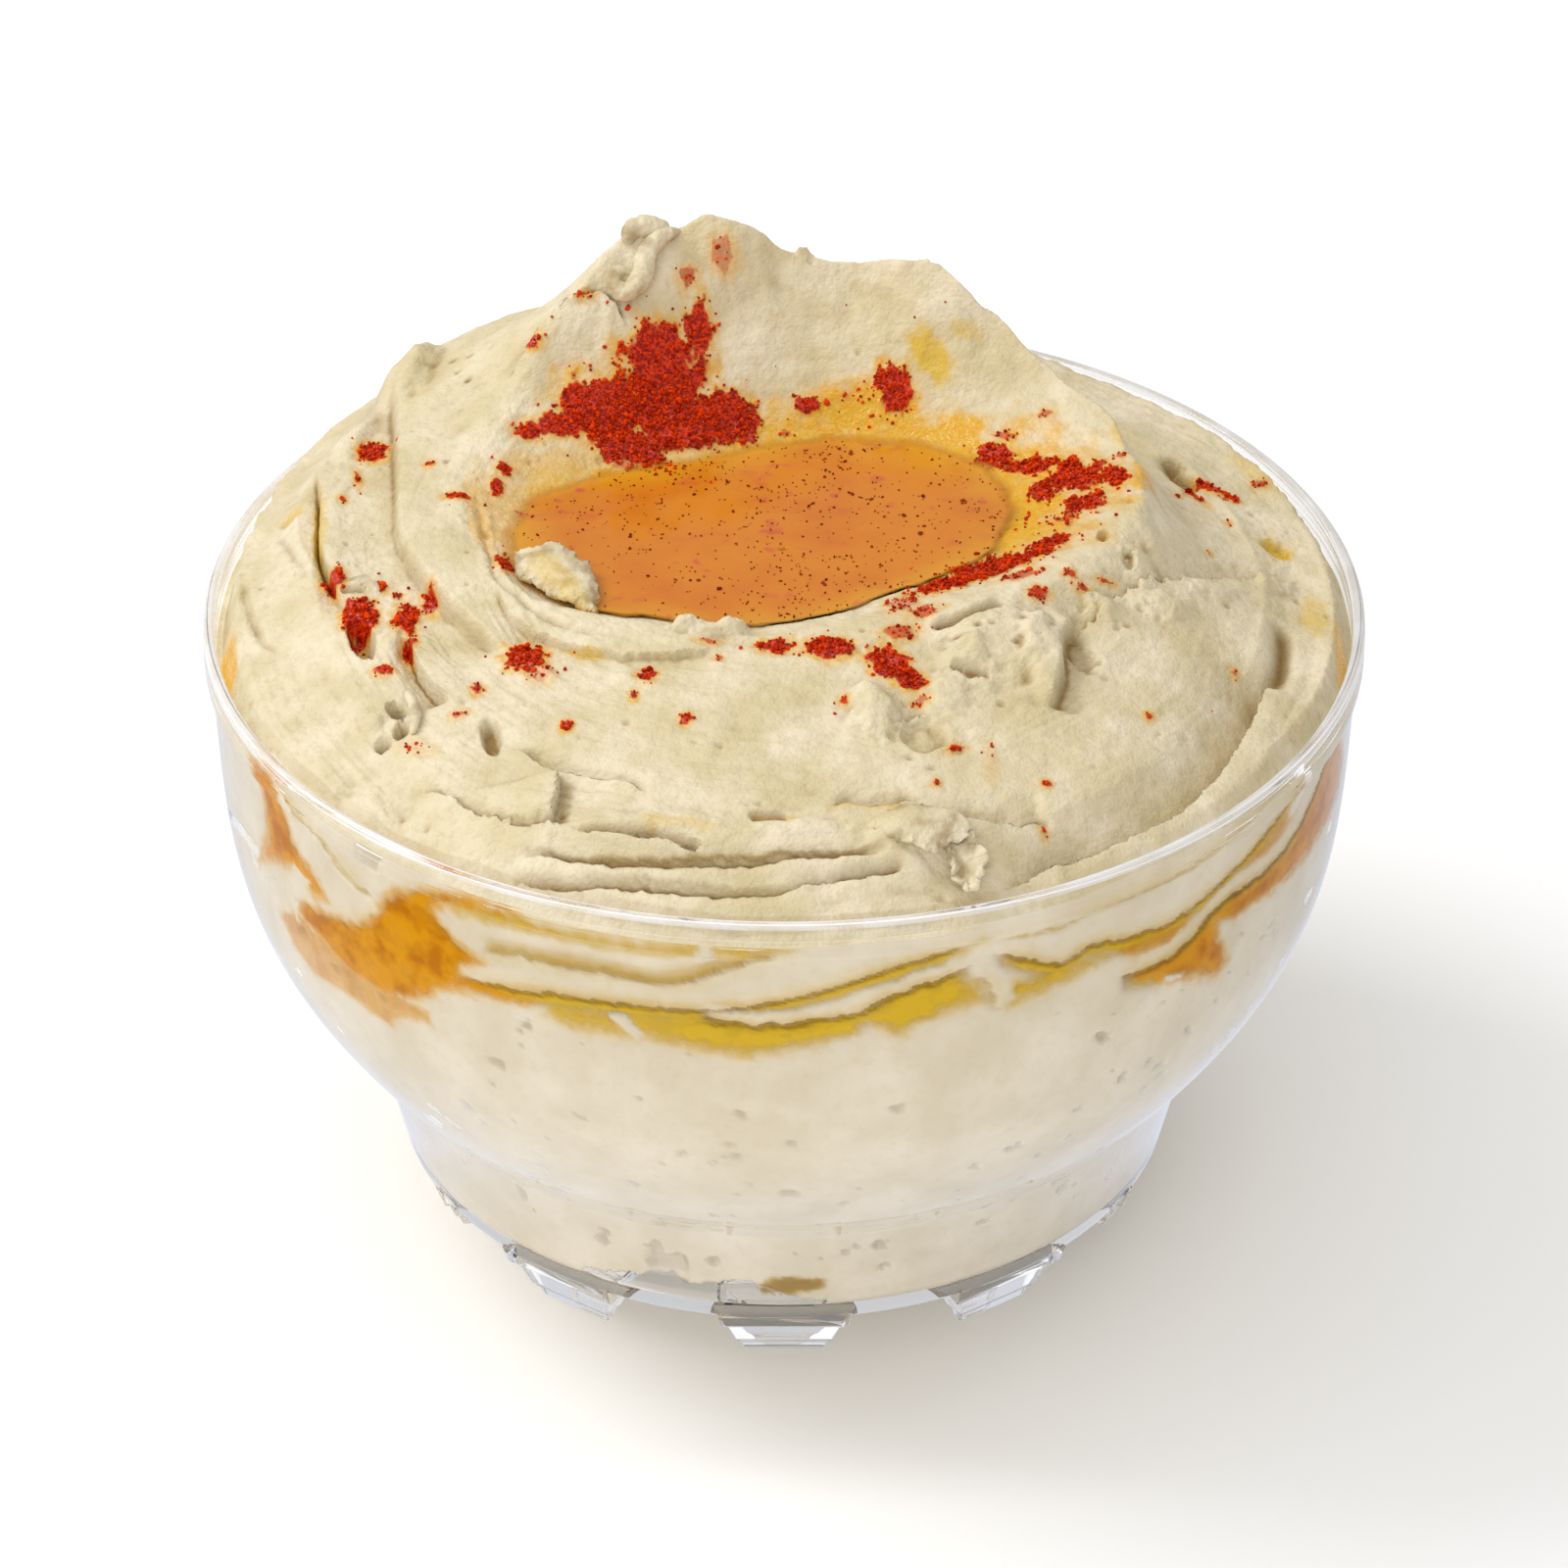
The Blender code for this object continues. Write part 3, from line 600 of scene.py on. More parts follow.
    def add_grain(self):
        x, y, z = self.x, self.y, self.height
        self.height = z + 0.26 * BROAD.layered(x / 5.5, y / 5.5, z / 5.5, layers=2)
        self.height += 0.11 * FINE.layered(x / 1.9, y / 1.9, z / 1.9, layers=3, fade=0.6)
        for pit_x, pit_y, size, depth in PITS:
            pick = near_spot(x, y, pit_x, pit_y, 2.0 * size)
            gap = np.hypot(x[pick] - pit_x, y[pick] - pit_y) / size
            self.height[pick] -= depth * np.exp(-(gap**4))

    def close_to_wall(self):
        """The last millimetres ease to the line where the food meets the wall."""
        ragged = self.gap * (1.0 + 0.3 * BROAD.layered(self.x / 2.2, self.y / 2.2, 1.0))
        near = step(ragged, 0.35 * (self.gap - 1.1), self.reach - self.distance)
        self.height = self.height * (1.0 - near) + self.edge * near
        calm = step(0.0, 1.5, self.reach - self.distance) * step(0.0, 0.05, self.rise)
        self.shift *= calm


def scatter_pits(count=150, seed=5):
    random = np.random.default_rng(seed)
    turn = random.uniform(0.0, math.tau, count)
    distance = 60.0 * np.sqrt(random.uniform(0.1, 1.0, count))
    size = random.uniform(0.22, 0.45, count)
    return list(zip(distance * np.cos(turn), distance * np.sin(turn), size, size * 0.9))


PITS = scatter_pits()

# Patches of paprika: middle, half lengths, turn of the long one, and how thick the cover is.
Patch = namedtuple("Patch", "x y long short turn cover")
SPICE = tuple(Patch(*row) for row in (
    # back wall, left
    (-13.5, 22.5, 4.6, 3.0, 15, 1.0), (-20.0, 18.4, 4.8, 2.7, 8, 1.0), (-24.6, 16.2, 3.4, 1.2, 12, 0.8),
    (-28.0, 15.0, 1.2, 0.8, 0, 0.8), (-12.0, 18.4, 5.0, 2.8, 0, 1.0), (-6.0, 19.8, 3.6, 2.5, 15, 1.0),
    (-17.0, 15.2, 4.6, 1.8, -5, 0.9), (-9.4, 26.2, 1.5, 2.2, -20, 0.8), (-10.6, 29.6, 1.2, 0.8, 30, 0.6),
    (-6.8, 31.6, 1.4, 0.9, 0, 0.5), (-22.0, 26.3, 1.2, 0.6, 10, 0.8), (-27.3, 22.6, 0.8, 0.5, 0, 0.9),
    (-15.5, 13.4, 3.2, 1.2, 0, 0.5), (-12.4, 12.3, 2.0, 1.0, 10, 0.5),
    # back wall, middle
    (12.0, 23.8, 2.3, 1.8, -35, 1.0), (2.6, 22.6, 1.5, 0.8, 10, 0.9), (8.0, 23.6, 4.0, 1.0, 10, 0.3),
    (10.0, 21.2, 3.0, 1.2, 0, 0.25), (0.0, 19.8, 0.7, 0.4, 0, 0.6),
    # right wall
    (22.8, 14.8, 2.2, 1.7, -20, 1.0), (25.0, 12.6, 1.8, 1.2, -20, 0.7), (27.3, 12.0, 2.2, 1.7, -20, 1.0),
    (31.6, 8.4, 3.0, 3.0, 30, 1.0), (28.0, 7.0, 1.5, 2.2, 0, 0.8), (32.2, 2.6, 2.4, 2.2, 40, 0.8),
    (30.4, 0.2, 1.5, 1.1, 0, 0.6), (35.8, 6.8, 1.2, 2.2, 15, 0.9), (24.2, 17.6, 1.6, 0.5, -15, 0.6),
    (28.5, 19.3, 0.9, 0.6, 0, 0.6), (27.0, 0.6, 2.0, 3.0, 30, 0.25), (36.4, 10.6, 0.7, 0.6, 0, 0.6),
    # right front lip
    (21.5, -9.3, 7.0, 2.6, 25, 1.0), (17.0, -12.4, 4.0, 1.8, 25, 0.8), (28.2, -4.8, 2.5, 1.3, 25, 0.8),
    (12.2, -16.6, 1.6, 2.6, -20, 0.5), (14.6, -19.4, 2.0, 1.2, 20, 0.6), (25.0, -12.6, 2.4, 1.2, 30, 0.6),
    # front clumps
    (-0.8, -23.8, 1.8, 1.2, 0, 0.9), (4.5, -24.8, 2.4, 1.6, -10, 1.0), (10.8, -27.2, 2.2, 1.9, -40, 1.0),
    (13.0, -29.6, 1.6, 1.4, -40, 1.0), (12.0, -22.9, 2.0, 1.1, 20, 0.6), (14.2, -32.4, 0.9, 0.6, 0, 0.6),
    (-27.0, -23.0, 2.2, 2.2, 0, 1.0), (-25.3, -25.8, 1.6, 1.6, 0, 0.4), (-14.3, -27.6, 1.0, 1.2, 0, 0.9),
    (-15.6, -30.8, 0.4, 0.7, 0, 0.8), (-10.2, -35.1, 0.6, 0.8, 0, 0.9), (-22.4, -34.6, 0.6, 0.8, 0, 1.0),
    (-32.0, -27.0, 0.6, 0.8, 0, 0.8), (-33.8, -30.6, 0.9, 0.5, 20, 0.6), (-38.0, -34.6, 1.8, 0.8, -30, 0.3),
    (6.2, -32.6, 0.5, 0.7, 0, 0.7), (-8.0, -23.0, 1.0, 0.4, 0, 0.6), (-6.8, -25.6, 0.5, 0.5, 0, 0.6),
    # left flank
    (-45.0, -12.8, 1.9, 2.5, 10, 1.0), (-40.0, -14.0, 1.3, 2.5, 0, 0.9), (-37.6, -11.6, 0.8, 1.6, 15, 0.8),
    (-39.3, -18.6, 0.9, 1.4, 0, 0.8), (-47.5, -7.0, 0.8, 1.6, 15, 0.9), (-48.9, -5.8, 0.7, 0.8, 0, 0.8),
    (-42.8, -8.4, 0.6, 0.8, 0, 0.8), (-41.0, -9.6, 0.5, 0.5, 0, 0.8), (-42.0, -21.8, 1.0, 0.7, 0, 0.8),
    (-29.8, -7.4, 0.9, 1.8, 10, 0.8), (-30.2, 9.8, 0.9, 0.9, 0, 0.9), (-31.0, 7.0, 0.8, 1.4, 0, 0.9),
    (-35.0, 4.1, 1.4, 0.7, -20, 0.9), (-28.0, 3.3, 1.2, 0.4, -35, 0.7), (-45.0, 18.6, 1.5, 2.2, 15, 1.0),
    (-46.4, 13.0, 0.3, 1.2, 10, 0.8), (-38.4, 10.5, 0.5, 0.5, 0, 0.9), (-47.8, 8.2, 0.4, 0.5, 0, 0.8),
    # right flank
    (47.0, 20.0, 1.8, 0.9, -30, 1.0), (49.2, 18.8, 1.0, 0.9, 0, 0.9), (45.2, 17.6, 1.4, 0.4, -50, 0.8),
    (43.0, 16.2, 0.3, 0.7, -20, 0.8), (52.6, 24.0, 0.6, 1.2, -30, 0.6), (26.8, -16.2, 1.1, 0.9, 0, 0.7),
    (30.2, -12.8, 0.7, 0.6, 0, 0.7), (31.6, -13.8, 0.7, 0.4, 30, 0.7), (34.0, -11.8, 0.8, 0.3, 20, 0.7),
    (38.0, -30.2, 0.4, 0.5, 0, 0.8), (17.6, -39.2, 0.9, 0.5, 20, 0.6), (21.3, -40.6, 0.5, 2.0, 0, 0.3),
    (27.0, -43.0, 0.5, 0.5, 0, 0.8), (15.6, -44.4, 0.5, 0.5, 0, 0.6), (26.6, -48.1, 0.3, 0.3, 0, 0.8),
    (47.5, -18.3, 0.4, 0.4, 0, 0.6), (48.5, 12.2, 0.3, 0.4, 0, 0.8), (45.9, 3.4, 0.3, 0.5, 0, 0.6),
))


def spice_cover(x, y):
    """How thickly paprika lies on spots of the plan, and how far its oil has spread, from 0 to 1."""
    cover = np.zeros(x.shape)
    stain = np.zeros(x.shape)
    for patch in SPICE:
        margin = 2.0 * max(patch.long, patch.short) + 0.6
        pick = near_spot(x, y, patch.x, patch.y, margin)
        if len(pick):
            share = spot_in(patch, x[pick], y[pick], 0.75)
            cover[pick] = np.maximum(cover[pick], patch.cover * step(1.15, 0.75, share))
            spread = 1.4 + 0.5 / min(patch.long, patch.short)
            stain[pick] = np.maximum(stain[pick], patch.cover * step(spread, 0.9, share))
    return cover, stain


# Films of oil on the food: middle, half lengths, turn, strength.
AMBER = tuple(Patch(*row) for row in (
    (5.0, 17.0, 11.0, 5.6, 0, 1.0), (17.0, 12.0, 5.0, 5.5, 0, 0.9), (22.5, 9.0, 3.6, 5.0, 20, 0.9),
    (-15.0, 11.5, 9.0, 3.0, 5, 0.9), (8.0, 21.4, 8.0, 3.4, 4, 1.0),
    (38.6, 7.0, 1.2, 3.6, -10, 0.9), (39.4, 13.0, 1.1, 3.6, -3, 0.7),
    (-59.4, -10.0, 1.0, 5.0, 5, 1.0), (-24.0, 1.0, 5.0, 5.0, 0, 0.5), (10.5, 22.5, 5.0, 2.6, -10, 0.7),
    (16.0, -8.5, 5.0, 2.2, 30, 0.6), (-27.0, 15.0, 2.5, 1.4, 0, 0.4), (59.6, -9.0, 0.8, 6.0, 0, 0.9),
))
GOLD = tuple(Patch(*row) for row in (
    (-24.0, 7.0, 4.0, 4.5, 0, 0.7), (22.5, 0.5, 4.0, 8.0, -28, 1.0), (16.2, 26.2, 3.0, 1.5, -35, 1.0),
    (-24.0, -12.8, 1.6, 4.4, 38, 1.0), (53.6, 9.6, 1.8, 2.2, 20, 1.0), (57.0, -3.0, 1.6, 4.5, 0, 0.6),
    (-53.4, 9.4, 1.4, 1.1, 0, 0.6), (20.0, 28.2, 2.0, 0.7, 0, 0.5), (36.4, 16.0, 0.8, 4.0, 0, 0.6),
    (-50.0, 4.0, 0.9, 8.0, 3, 0.8), (-21.0, -23.2, 2.2, 0.6, -20, 0.7), (53.0, 27.0, 3.0, 5.0, 20, 0.5),
    (-11.0, -50.6, 4.0, 0.8, -8, 0.4), (9.0, -48.4, 3.5, 0.8, 0, 0.7), (-1.0, -49.8, 2.4, 0.5, 0, 0.7),
))


def film(patches, x, y):
    """How thickly films of oil cover spots of the plan, from 0 to 1."""
    cover = np.zeros(x.shape)
    for patch in patches:
        margin = 2.2 * max(patch.long, patch.short)
        pick = near_spot(x, y, patch.x, patch.y, margin)
        if len(pick):
            share = spot_in(patch, x[pick], y[pick], 0.5)
            cover[pick] = np.maximum(cover[pick], patch.cover * step(1.35, 0.6, share))
    return cover


# ---------------------------------------------------------------- the food's side, seen through the wall

# Lines are (azimuth about the bowl's axis, height). The fold above a line touches the wall, and the
# food draws back below it, where oil has run in.
WallFold = namedtuple("WallFold", "line depth reach dark ragged")
WALL_FOLDS = (
    WallFold(((270.5, 67.8), (266, 65.8), (263, 64.2), (260.5, 62.9), (257, 62.3), (250, 62.6),
              (242, 62.0), (238.5, 60.6)), 0.6, 2.2, 0.55, 0.35),
    WallFold(((236, 57.2), (243, 57.9), (248, 58.7), (255, 59.1), (262, 59.5), (268, 60.6),
              (274, 62.4), (280, 64.5), (286, 66.0), (290, 66.6)), 1.9, 1.5, 1.0, 0.25),
    WallFold(((261, 58.5), (268, 57.8), (273, 58.5), (277, 59.3), (281, 61.2), (286, 62.6),
              (288.5, 64.0)), 2.2, 2.0, 0.9, 0.4),
    WallFold(((289.5, 65.0), (292, 63.8), (295, 62.2), (298, 61.0), (301, 62.1), (306, 61.1), (311, 60.8),
              (316, 61.9), (320, 63.1), (325, 64.7), (329, 66.6), (333, 69.0)), 1.8, 1.6, 0.9, 0.35),
    WallFold(((304.5, 56.6), (310, 56.1), (314, 57.1), (317, 59.0), (320, 59.8), (325, 59.5),
              (330, 60.2), (334, 62.0), (339, 66.5)), 2.4, 2.2, 1.0, 0.3),
    WallFold(((289, 66.6), (297, 65.9), (301, 66.9), (310, 67.1), (318, 68.1), (327, 69.8)),
             0.5, 0.5, 0.6, 0.3),
    WallFold(((211, 69.5), (215, 67.4), (218.5, 66.2), (221, 64.2), (223.5, 63.0), (226.4, 62.6)),
             0.8, 0.7, 0.6, 0.4),
    WallFold(((289.2, 62.0), (290.4, 59.8), (291.4, 57.2)), 0.8, 0.7, 0.5, 0.3),
    WallFold(((184, 48.5), (190, 52.0), (197, 55.0), (205, 56.2)), 0.6, 0.9, 0.3, 0.4),
)
# Outlines of oil against the wall.
AMBER_AT_WALL = (
    ((230, 65.8), (233, 67.4), (237, 68.4), (243, 69.2), (244, 67.6), (237, 66.6), (234.3, 64.6),
     (236.5, 62.0), (240.5, 60.2), (237, 58.0), (246, 57.2), (243.5, 55.9), (238, 55.6), (234.5, 54.4),
     (231, 51.6), (226, 49.6), (221, 50.0), (215, 52.0), (211.5, 53.6), (214, 55.6), (219, 56.8),
     (223, 58.0), (225.6, 60.4), (227.6, 63.6)),
    ((205, 69.4), (211, 69.6), (212, 66.0), (213.5, 62.2), (217.5, 60.0), (219, 58.0), (216, 57.0),
     (212, 58.2), (208.5, 57.0), (203, 53.6), (205, 57.0), (207, 60.0), (207, 65.0)),
    ((305.5, 56.6), (309, 56.6), (314, 57.4), (318, 58.4), (318.6, 55.0), (320.4, 51.2), (318.8, 49.6),
     (316.6, 50.8), (314.6, 51.6), (312, 52.4), (309.4, 53.4), (307, 55.2)),
    ((315, 58.0), (320, 59.4), (326, 59.2), (331, 59.8), (335, 62.4), (338, 65.6), (343, 66.0),
     (347, 61.0), (346, 57.0), (341, 55.8), (335, 55.4), (328, 55.6), (321, 56.2)),
)
PALE_AMBER_AT_WALL = (
    ((207.5, 50.2), (212, 53.4), (222, 52.4), (232.4, 51.0), (232.4, 49.2), (228.6, 48.0),
     (226.4, 45.6), (220, 46.6), (214, 45.6), (210, 47.6)),
    ((320, 62.6), (325, 63.8), (329.4, 65.8), (330.4, 63.0), (326, 61.4), (321, 61.6)),
    ((304, 60.6), (311, 60.6), (315, 60.8), (312.6, 58.4), (309.6, 57.2), (306, 57.6)),
)
GOLD_AT_WALL = (
    ((234, 66.8), (238, 68.6), (246, 68.2), (256, 67.8), (266, 68.8), (271, 68.0), (267, 66.6),
     (256, 66.0), (244, 65.8), (237, 65.4)),
    ((246, 57.4), (256, 58.8), (262, 59.2), (269, 57.6), (277, 58.8), (277.4, 56.4), (272, 55.0),
     (266, 53.6), (258, 54.8), (250, 54.6), (246, 55.6)),
    ((280, 62.0), (286, 62.6), (289.4, 61.0), (290, 58.6), (284, 57.2), (281, 55.6), (277.5, 58.0)),
    ((290.6, 60.4), (297, 60.6), (304, 61.0), (303.4, 59.4), (298, 58.2), (292, 57.0)),
    ((276, 64.2), (284, 66.4), (289, 67.4), (290, 66.8), (284, 64.8), (278, 62.8)),
)
PALE_ISLANDS = (
    ((212.6, 59.6), (215.4, 58.6), (214.8, 57.0), (212.8, 55.4), (212.2, 51.6), (211.0, 54.0),
     (211.4, 57.2)),
    ((310.6, 54.2), (313.4, 53.2), (313.2, 52.6), (310.6, 53.4)),
    ((261.8, 69.5), (263.2, 69.5), (263.0, 67.5), (263.8, 66.5), (263.2, 65.6), (262.0, 65.5),
     (261.2, 66.4), (262.0, 67.6)),
    ((251.8, 58.0), (254.6, 57.8), (256.4, 55.6), (255.8, 54.6), (253.6, 56.4)),
)
AIR_POCKETS = (               # outlines where the food misses the wall, and how deep
    (((238, 8.0), (241, 9.6), (247, 10.6), (252, 11.3), (256, 10.6), (261, 11.6), (265, 12.2),
      (268, 11.0), (271, 9.6), (276, 8.6), (277, 7.0), (238, 7.0)), 5.0),
    (((250.6, 11.0), (250.2, 14.6), (252.2, 17.6), (253.0, 15.4), (256.2, 15.8), (256.0, 11.0)), 0.9),
    (((224.6, 69.4), (228.4, 69.2), (226.4, 65.8), (225.0, 66.8)), 1.4),
)
OIL_POCKET = (
    (265.6, 11.4), (268, 13.2), (272, 13.6), (275.8, 13.0), (276, 11.4), (271, 10.6), (267, 10.6),
)
WALL_MM = 1.05                # millimetres of wall in a degree of azimuth


def inside(across, up, outline, ragged=0.5, grain=1.6):
    """Distance from an outline on the wall, positive inside, made a little uneven."""
    points = [(a * WALL_MM, z) for a, z in outline]
    line = np.array(points + points[:1])
    pick = near_line(across, up, line, 4.0)
    gap = np.full(across.shape, -9.0)
    if not len(pick):
        return gap
    x, y = across[pick], up[pick]
    distance = np.abs(beside(x, y, line)[0])
    crossings = np.zeros(x.shape, int)
    for (ax, ay), (bx, by) in zip(line, line[1:]):
        spans = (ay > y) != (by > y)
        reach = ax + (y - ay) * (bx - ax) / (by - ay if by != ay else 1.0)
        crossings += spans & (x < reach)
    gap[pick] = np.where(crossings % 2 == 1, distance, -distance)
    gap[pick] += ragged * BROAD.layered(x / grain, y / grain, 6.0, layers=3)
    return gap


class Side:
    """The food's side over azimuths and heights: how far it draws back, and what paints it."""

    def __init__(self, azimuth, height):
        self.across, self.up = azimuth * WALL_MM, height
        self.inset = np.full(azimuth.shape, -INTO_WALL)
        self.gold = np.zeros(azimuth.shape)
        self.amber = np.zeros(azimuth.shape)
        self.painted_shade = np.zeros(azimuth.shape)
        for outline in GOLD_AT_WALL:
            self.gold = np.maximum(self.gold, 0.9 * step(-1.6, 2.4, self.within(outline)))
        for outline in PALE_AMBER_AT_WALL:
            self.amber = np.maximum(self.amber, 0.6 * step(-0.8, 1.2, self.within(outline)))
        for outline in AMBER_AT_WALL:
            self.amber = np.maximum(self.amber, step(-1.2, 2.0, self.within(outline)))
        wet = np.maximum(np.maximum(self.amber, self.gold) - 0.5, 0.0)
        self.inset += 1.6 * wet * (0.55 + 0.9 * BROAD.layered(self.across / 3.0, self.up / 3.0, 1.0))
        for fold in WALL_FOLDS:
            self.add_fold(fold)
        for outline in PALE_ISLANDS:
            self.clear(step(-0.4, 0.4, self.within(outline)))
        for outline, depth in AIR_POCKETS:
            pocket = step(-0.5, 0.8, self.within(outline))
            self.inset = np.maximum(self.inset, pocket * (depth + INTO_WALL) - INTO_WALL)
        pocket = step(-0.4, 0.6, self.within(OIL_POCKET))
        # the oil pocket at the foot: gold oil, with a painted shade for its brown
        self.gold = np.maximum(self.gold, 0.7 * pocket)
        self.painted_shade = np.maximum(self.painted_shade, 0.75 * pocket)
        self.add_bubbles()
        self.inset = np.maximum(self.inset, -INTO_WALL)

    def within(self, outline):
        return inside(self.across, self.up, outline)

    def clear(self, cover):
        self.amber *= 1.0 - cover
        self.gold *= 1.0 - cover
        self.inset = self.inset * (1.0 - cover) - INTO_WALL * cover

    def add_fold(self, fold):
        line = smooth_line([(a * WALL_MM, z) for a, z in fold.line])
        pick = near_line(self.across, self.up, line, fold.reach * 2.5 + 2.0)
        x, y = self.across[pick], self.up[pick]
        side, share = beside(x, y, line)
        side = side + fold.ragged * BROAD.layered(x * 0.7, y * 0.7, fold.depth, layers=3)
        taper = step(0.0, 0.1, share) * step(1.0, 0.9, share)
        above = step(-0.1, 0.25, side) * step(2.6, 1.4, side) * taper
        for cover in (self.gold, self.amber):
            cover[pick] *= 1.0 - above
        tint = 0.62 * fold.dark * np.exp(-np.maximum(side, 0.0) / 1.1) * above
        self.gold[pick] = np.maximum(self.gold[pick], tint)
        self.inset[pick] = self.inset[pick] * (1.0 - above) - INTO_WALL * above
        below = step(0.1, -0.2, side) * taper
        deep = below * np.exp(-((np.minimum(side, 0.0) / fold.reach) ** 2))
        thin = below * np.exp(-((np.minimum(side, 0.0) / (0.25 * fold.reach)) ** 2))
        drawn = (fold.depth + INTO_WALL) * deep - INTO_WALL
        self.inset[pick] = np.maximum(self.inset[pick], drawn)
        self.gold[pick] = np.maximum(self.gold[pick], 0.9 * fold.dark * deep)
        # painted shade: a thin dark line just under the fold
        self.painted_shade[pick] = np.maximum(self.painted_shade[pick], 1.1 * fold.dark * thin)

    def add_bubbles(self):
        random = np.random.default_rng(31)
        count = 420
        spots = random.uniform((0.0, 14.0), (360.0 * WALL_MM, 55.0), (count, 2))
        sizes = 0.25 + 0.85 * random.uniform(0.0, 1.0, count) ** 2.2
        for (a, z), size in zip(spots, sizes):
            pick = near_line(self.across, self.up, np.array([(a, z), (a, z)]), 2.2 * size)
            x, y = self.across[pick] - a, self.up[pick] - z
            share = np.hypot(x, y * 1.3) / size
            share += 0.7 * BROAD.layered(x / size + a, y / size, z)
            dent = step(1.1, 0.6, share)
            self.inset[pick] = np.maximum(self.inset[pick], 0.5 * size * dent - INTO_WALL)
            # painted shade in each dent
            self.painted_shade[pick] = np.maximum(self.painted_shade[pick], 0.34 * dent)


# ---------------------------------------------------------------- meshes


def add_mesh(name, points, faces, paints=None, normals=None, material=None, smooth=True):
    """A new object from points in millimetres, with one number a point for each named paint."""
    mesh = bpy.data.meshes.new(name)
    faces = np.asarray(faces, np.int32)
    sides = faces.shape[1]
    mesh.vertices.add(len(points))
    mesh.vertices.foreach_set("co", (np.asarray(points) * MM).astype(np.float32).ravel())
    mesh.loops.add(faces.size)
    mesh.loops.foreach_set("vertex_index", faces.ravel())
    mesh.polygons.add(len(faces))
    mesh.polygons.foreach_set("loop_start", np.arange(0, faces.size, sides, dtype=np.int32))
    mesh.update(calc_edges=True)
    mesh.validate()
    for paint, values in (paints or {}).items():
        layer = mesh.attributes.new(paint, "FLOAT", "POINT")
        layer.data.foreach_set("value", np.asarray(values, np.float32).ravel())
    if smooth:
        mesh.shade_smooth()
    if normals is not None:
        mesh.normals_split_custom_set_from_vertices(normals.reshape(-1, 3))
    if material is not None:
        mesh.materials.append(material)
    obj = bpy.data.objects.new(name, mesh)
    bpy.context.scene.collection.objects.link(obj)
    return obj


def grid_faces(columns, rings):
    """Quads between columns that go once round and rings that don't close."""
    i, k = np.meshgrid(np.arange(columns), np.arange(rings - 1), indexing="ij")
    there = (i + 1) % columns
    corners = (i * rings + k, i * rings + k + 1, there * rings + k + 1, there * rings + k)
    return np.stack(corners, -1).reshape(-1, 4)


def triangles(quads):
    """Each quad as two triangles."""
    a, b, c, d = np.asarray(quads).T
    return np.concatenate([np.stack([a, b, c], 1), np.stack([a, c, d], 1)])


def shell_faces(faces, count):
    """Faces of a closed shell: the given ones, the same turned over on points that are count
    further on, and walls between the two borders."""
    loops = np.stack([faces, np.roll(faces, -1, 1)], -1).reshape(-1, 2)
    where, uses = np.unique(np.sort(loops, axis=1), axis=0, return_index=True, return_counts=True)[1:]
    border = loops[where[uses == 1]]
    walls = np.stack([border[:, 1], border[:, 0], border[:, 0] + count, border[:, 1] + count], 1)
    return np.concatenate([faces, faces[:, ::-1] + count, walls])


def resample(points, count):
    """Points on smooth curves through the given ones, along the first axis."""
    given = run_on(points)
    along = np.linspace(0.0, len(given) - 3.0, count)
    i = np.minimum(along.astype(int), len(given) - 4)
    t = (along - i).reshape((-1,) + (1,) * (given.ndim - 1))
    return spline(*(given[i + k] for k in range(4)), t)


def grid_normals(points):
    """Normals of a grid of columns and rings, as its own slopes give them."""
    around_it = np.roll(points, -1, 0) - np.roll(points, 1, 0)
    along_it = np.gradient(points, axis=1)
    return unit(np.cross(along_it, around_it))


def carry_over(piece, slot, *nodes):
    """Hangs a piece on the body it rides on and hides the nodes it stands for; the slot is not used."""
    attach(piece, BODY)
    if nodes:
        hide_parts(*nodes)
    return piece


# ---------------------------------------------------------------- materials


class Value:
    """A number in a material, which can be reckoned with like any other."""

    def __init__(self, finish, socket):
        self.finish, self.socket = finish, socket

    def math(self, operation, *others):
        sockets = [other.socket if isinstance(other, Value) else other for other in others]
        node = self.finish.add("ShaderNodeMath", {"operation": operation}, dict(enumerate(sockets)))
        return Value(self.finish, node.outputs[0])

    def __add__(self, other):
        return self.math("ADD", self, other)

    def __sub__(self, other):
        return self.math("SUBTRACT", self, other)

    def __rsub__(self, other):
        return self.math("SUBTRACT", other, self)

    def __mul__(self, other):
        return self.math("MULTIPLY", self, other)

    def __truediv__(self, other):
        return self.math("DIVIDE", self, other)

    def __pow__(self, other):
        return self.math("POWER", self, other)

    __radd__ = __add__
    __rmul__ = __mul__

    def clipped(self):
        return self.math("MINIMUM", self.math("MAXIMUM", self, 0.0), 1.0)

    def above(self, low, high):
        return ((self - low) / (high - low)).clipped()


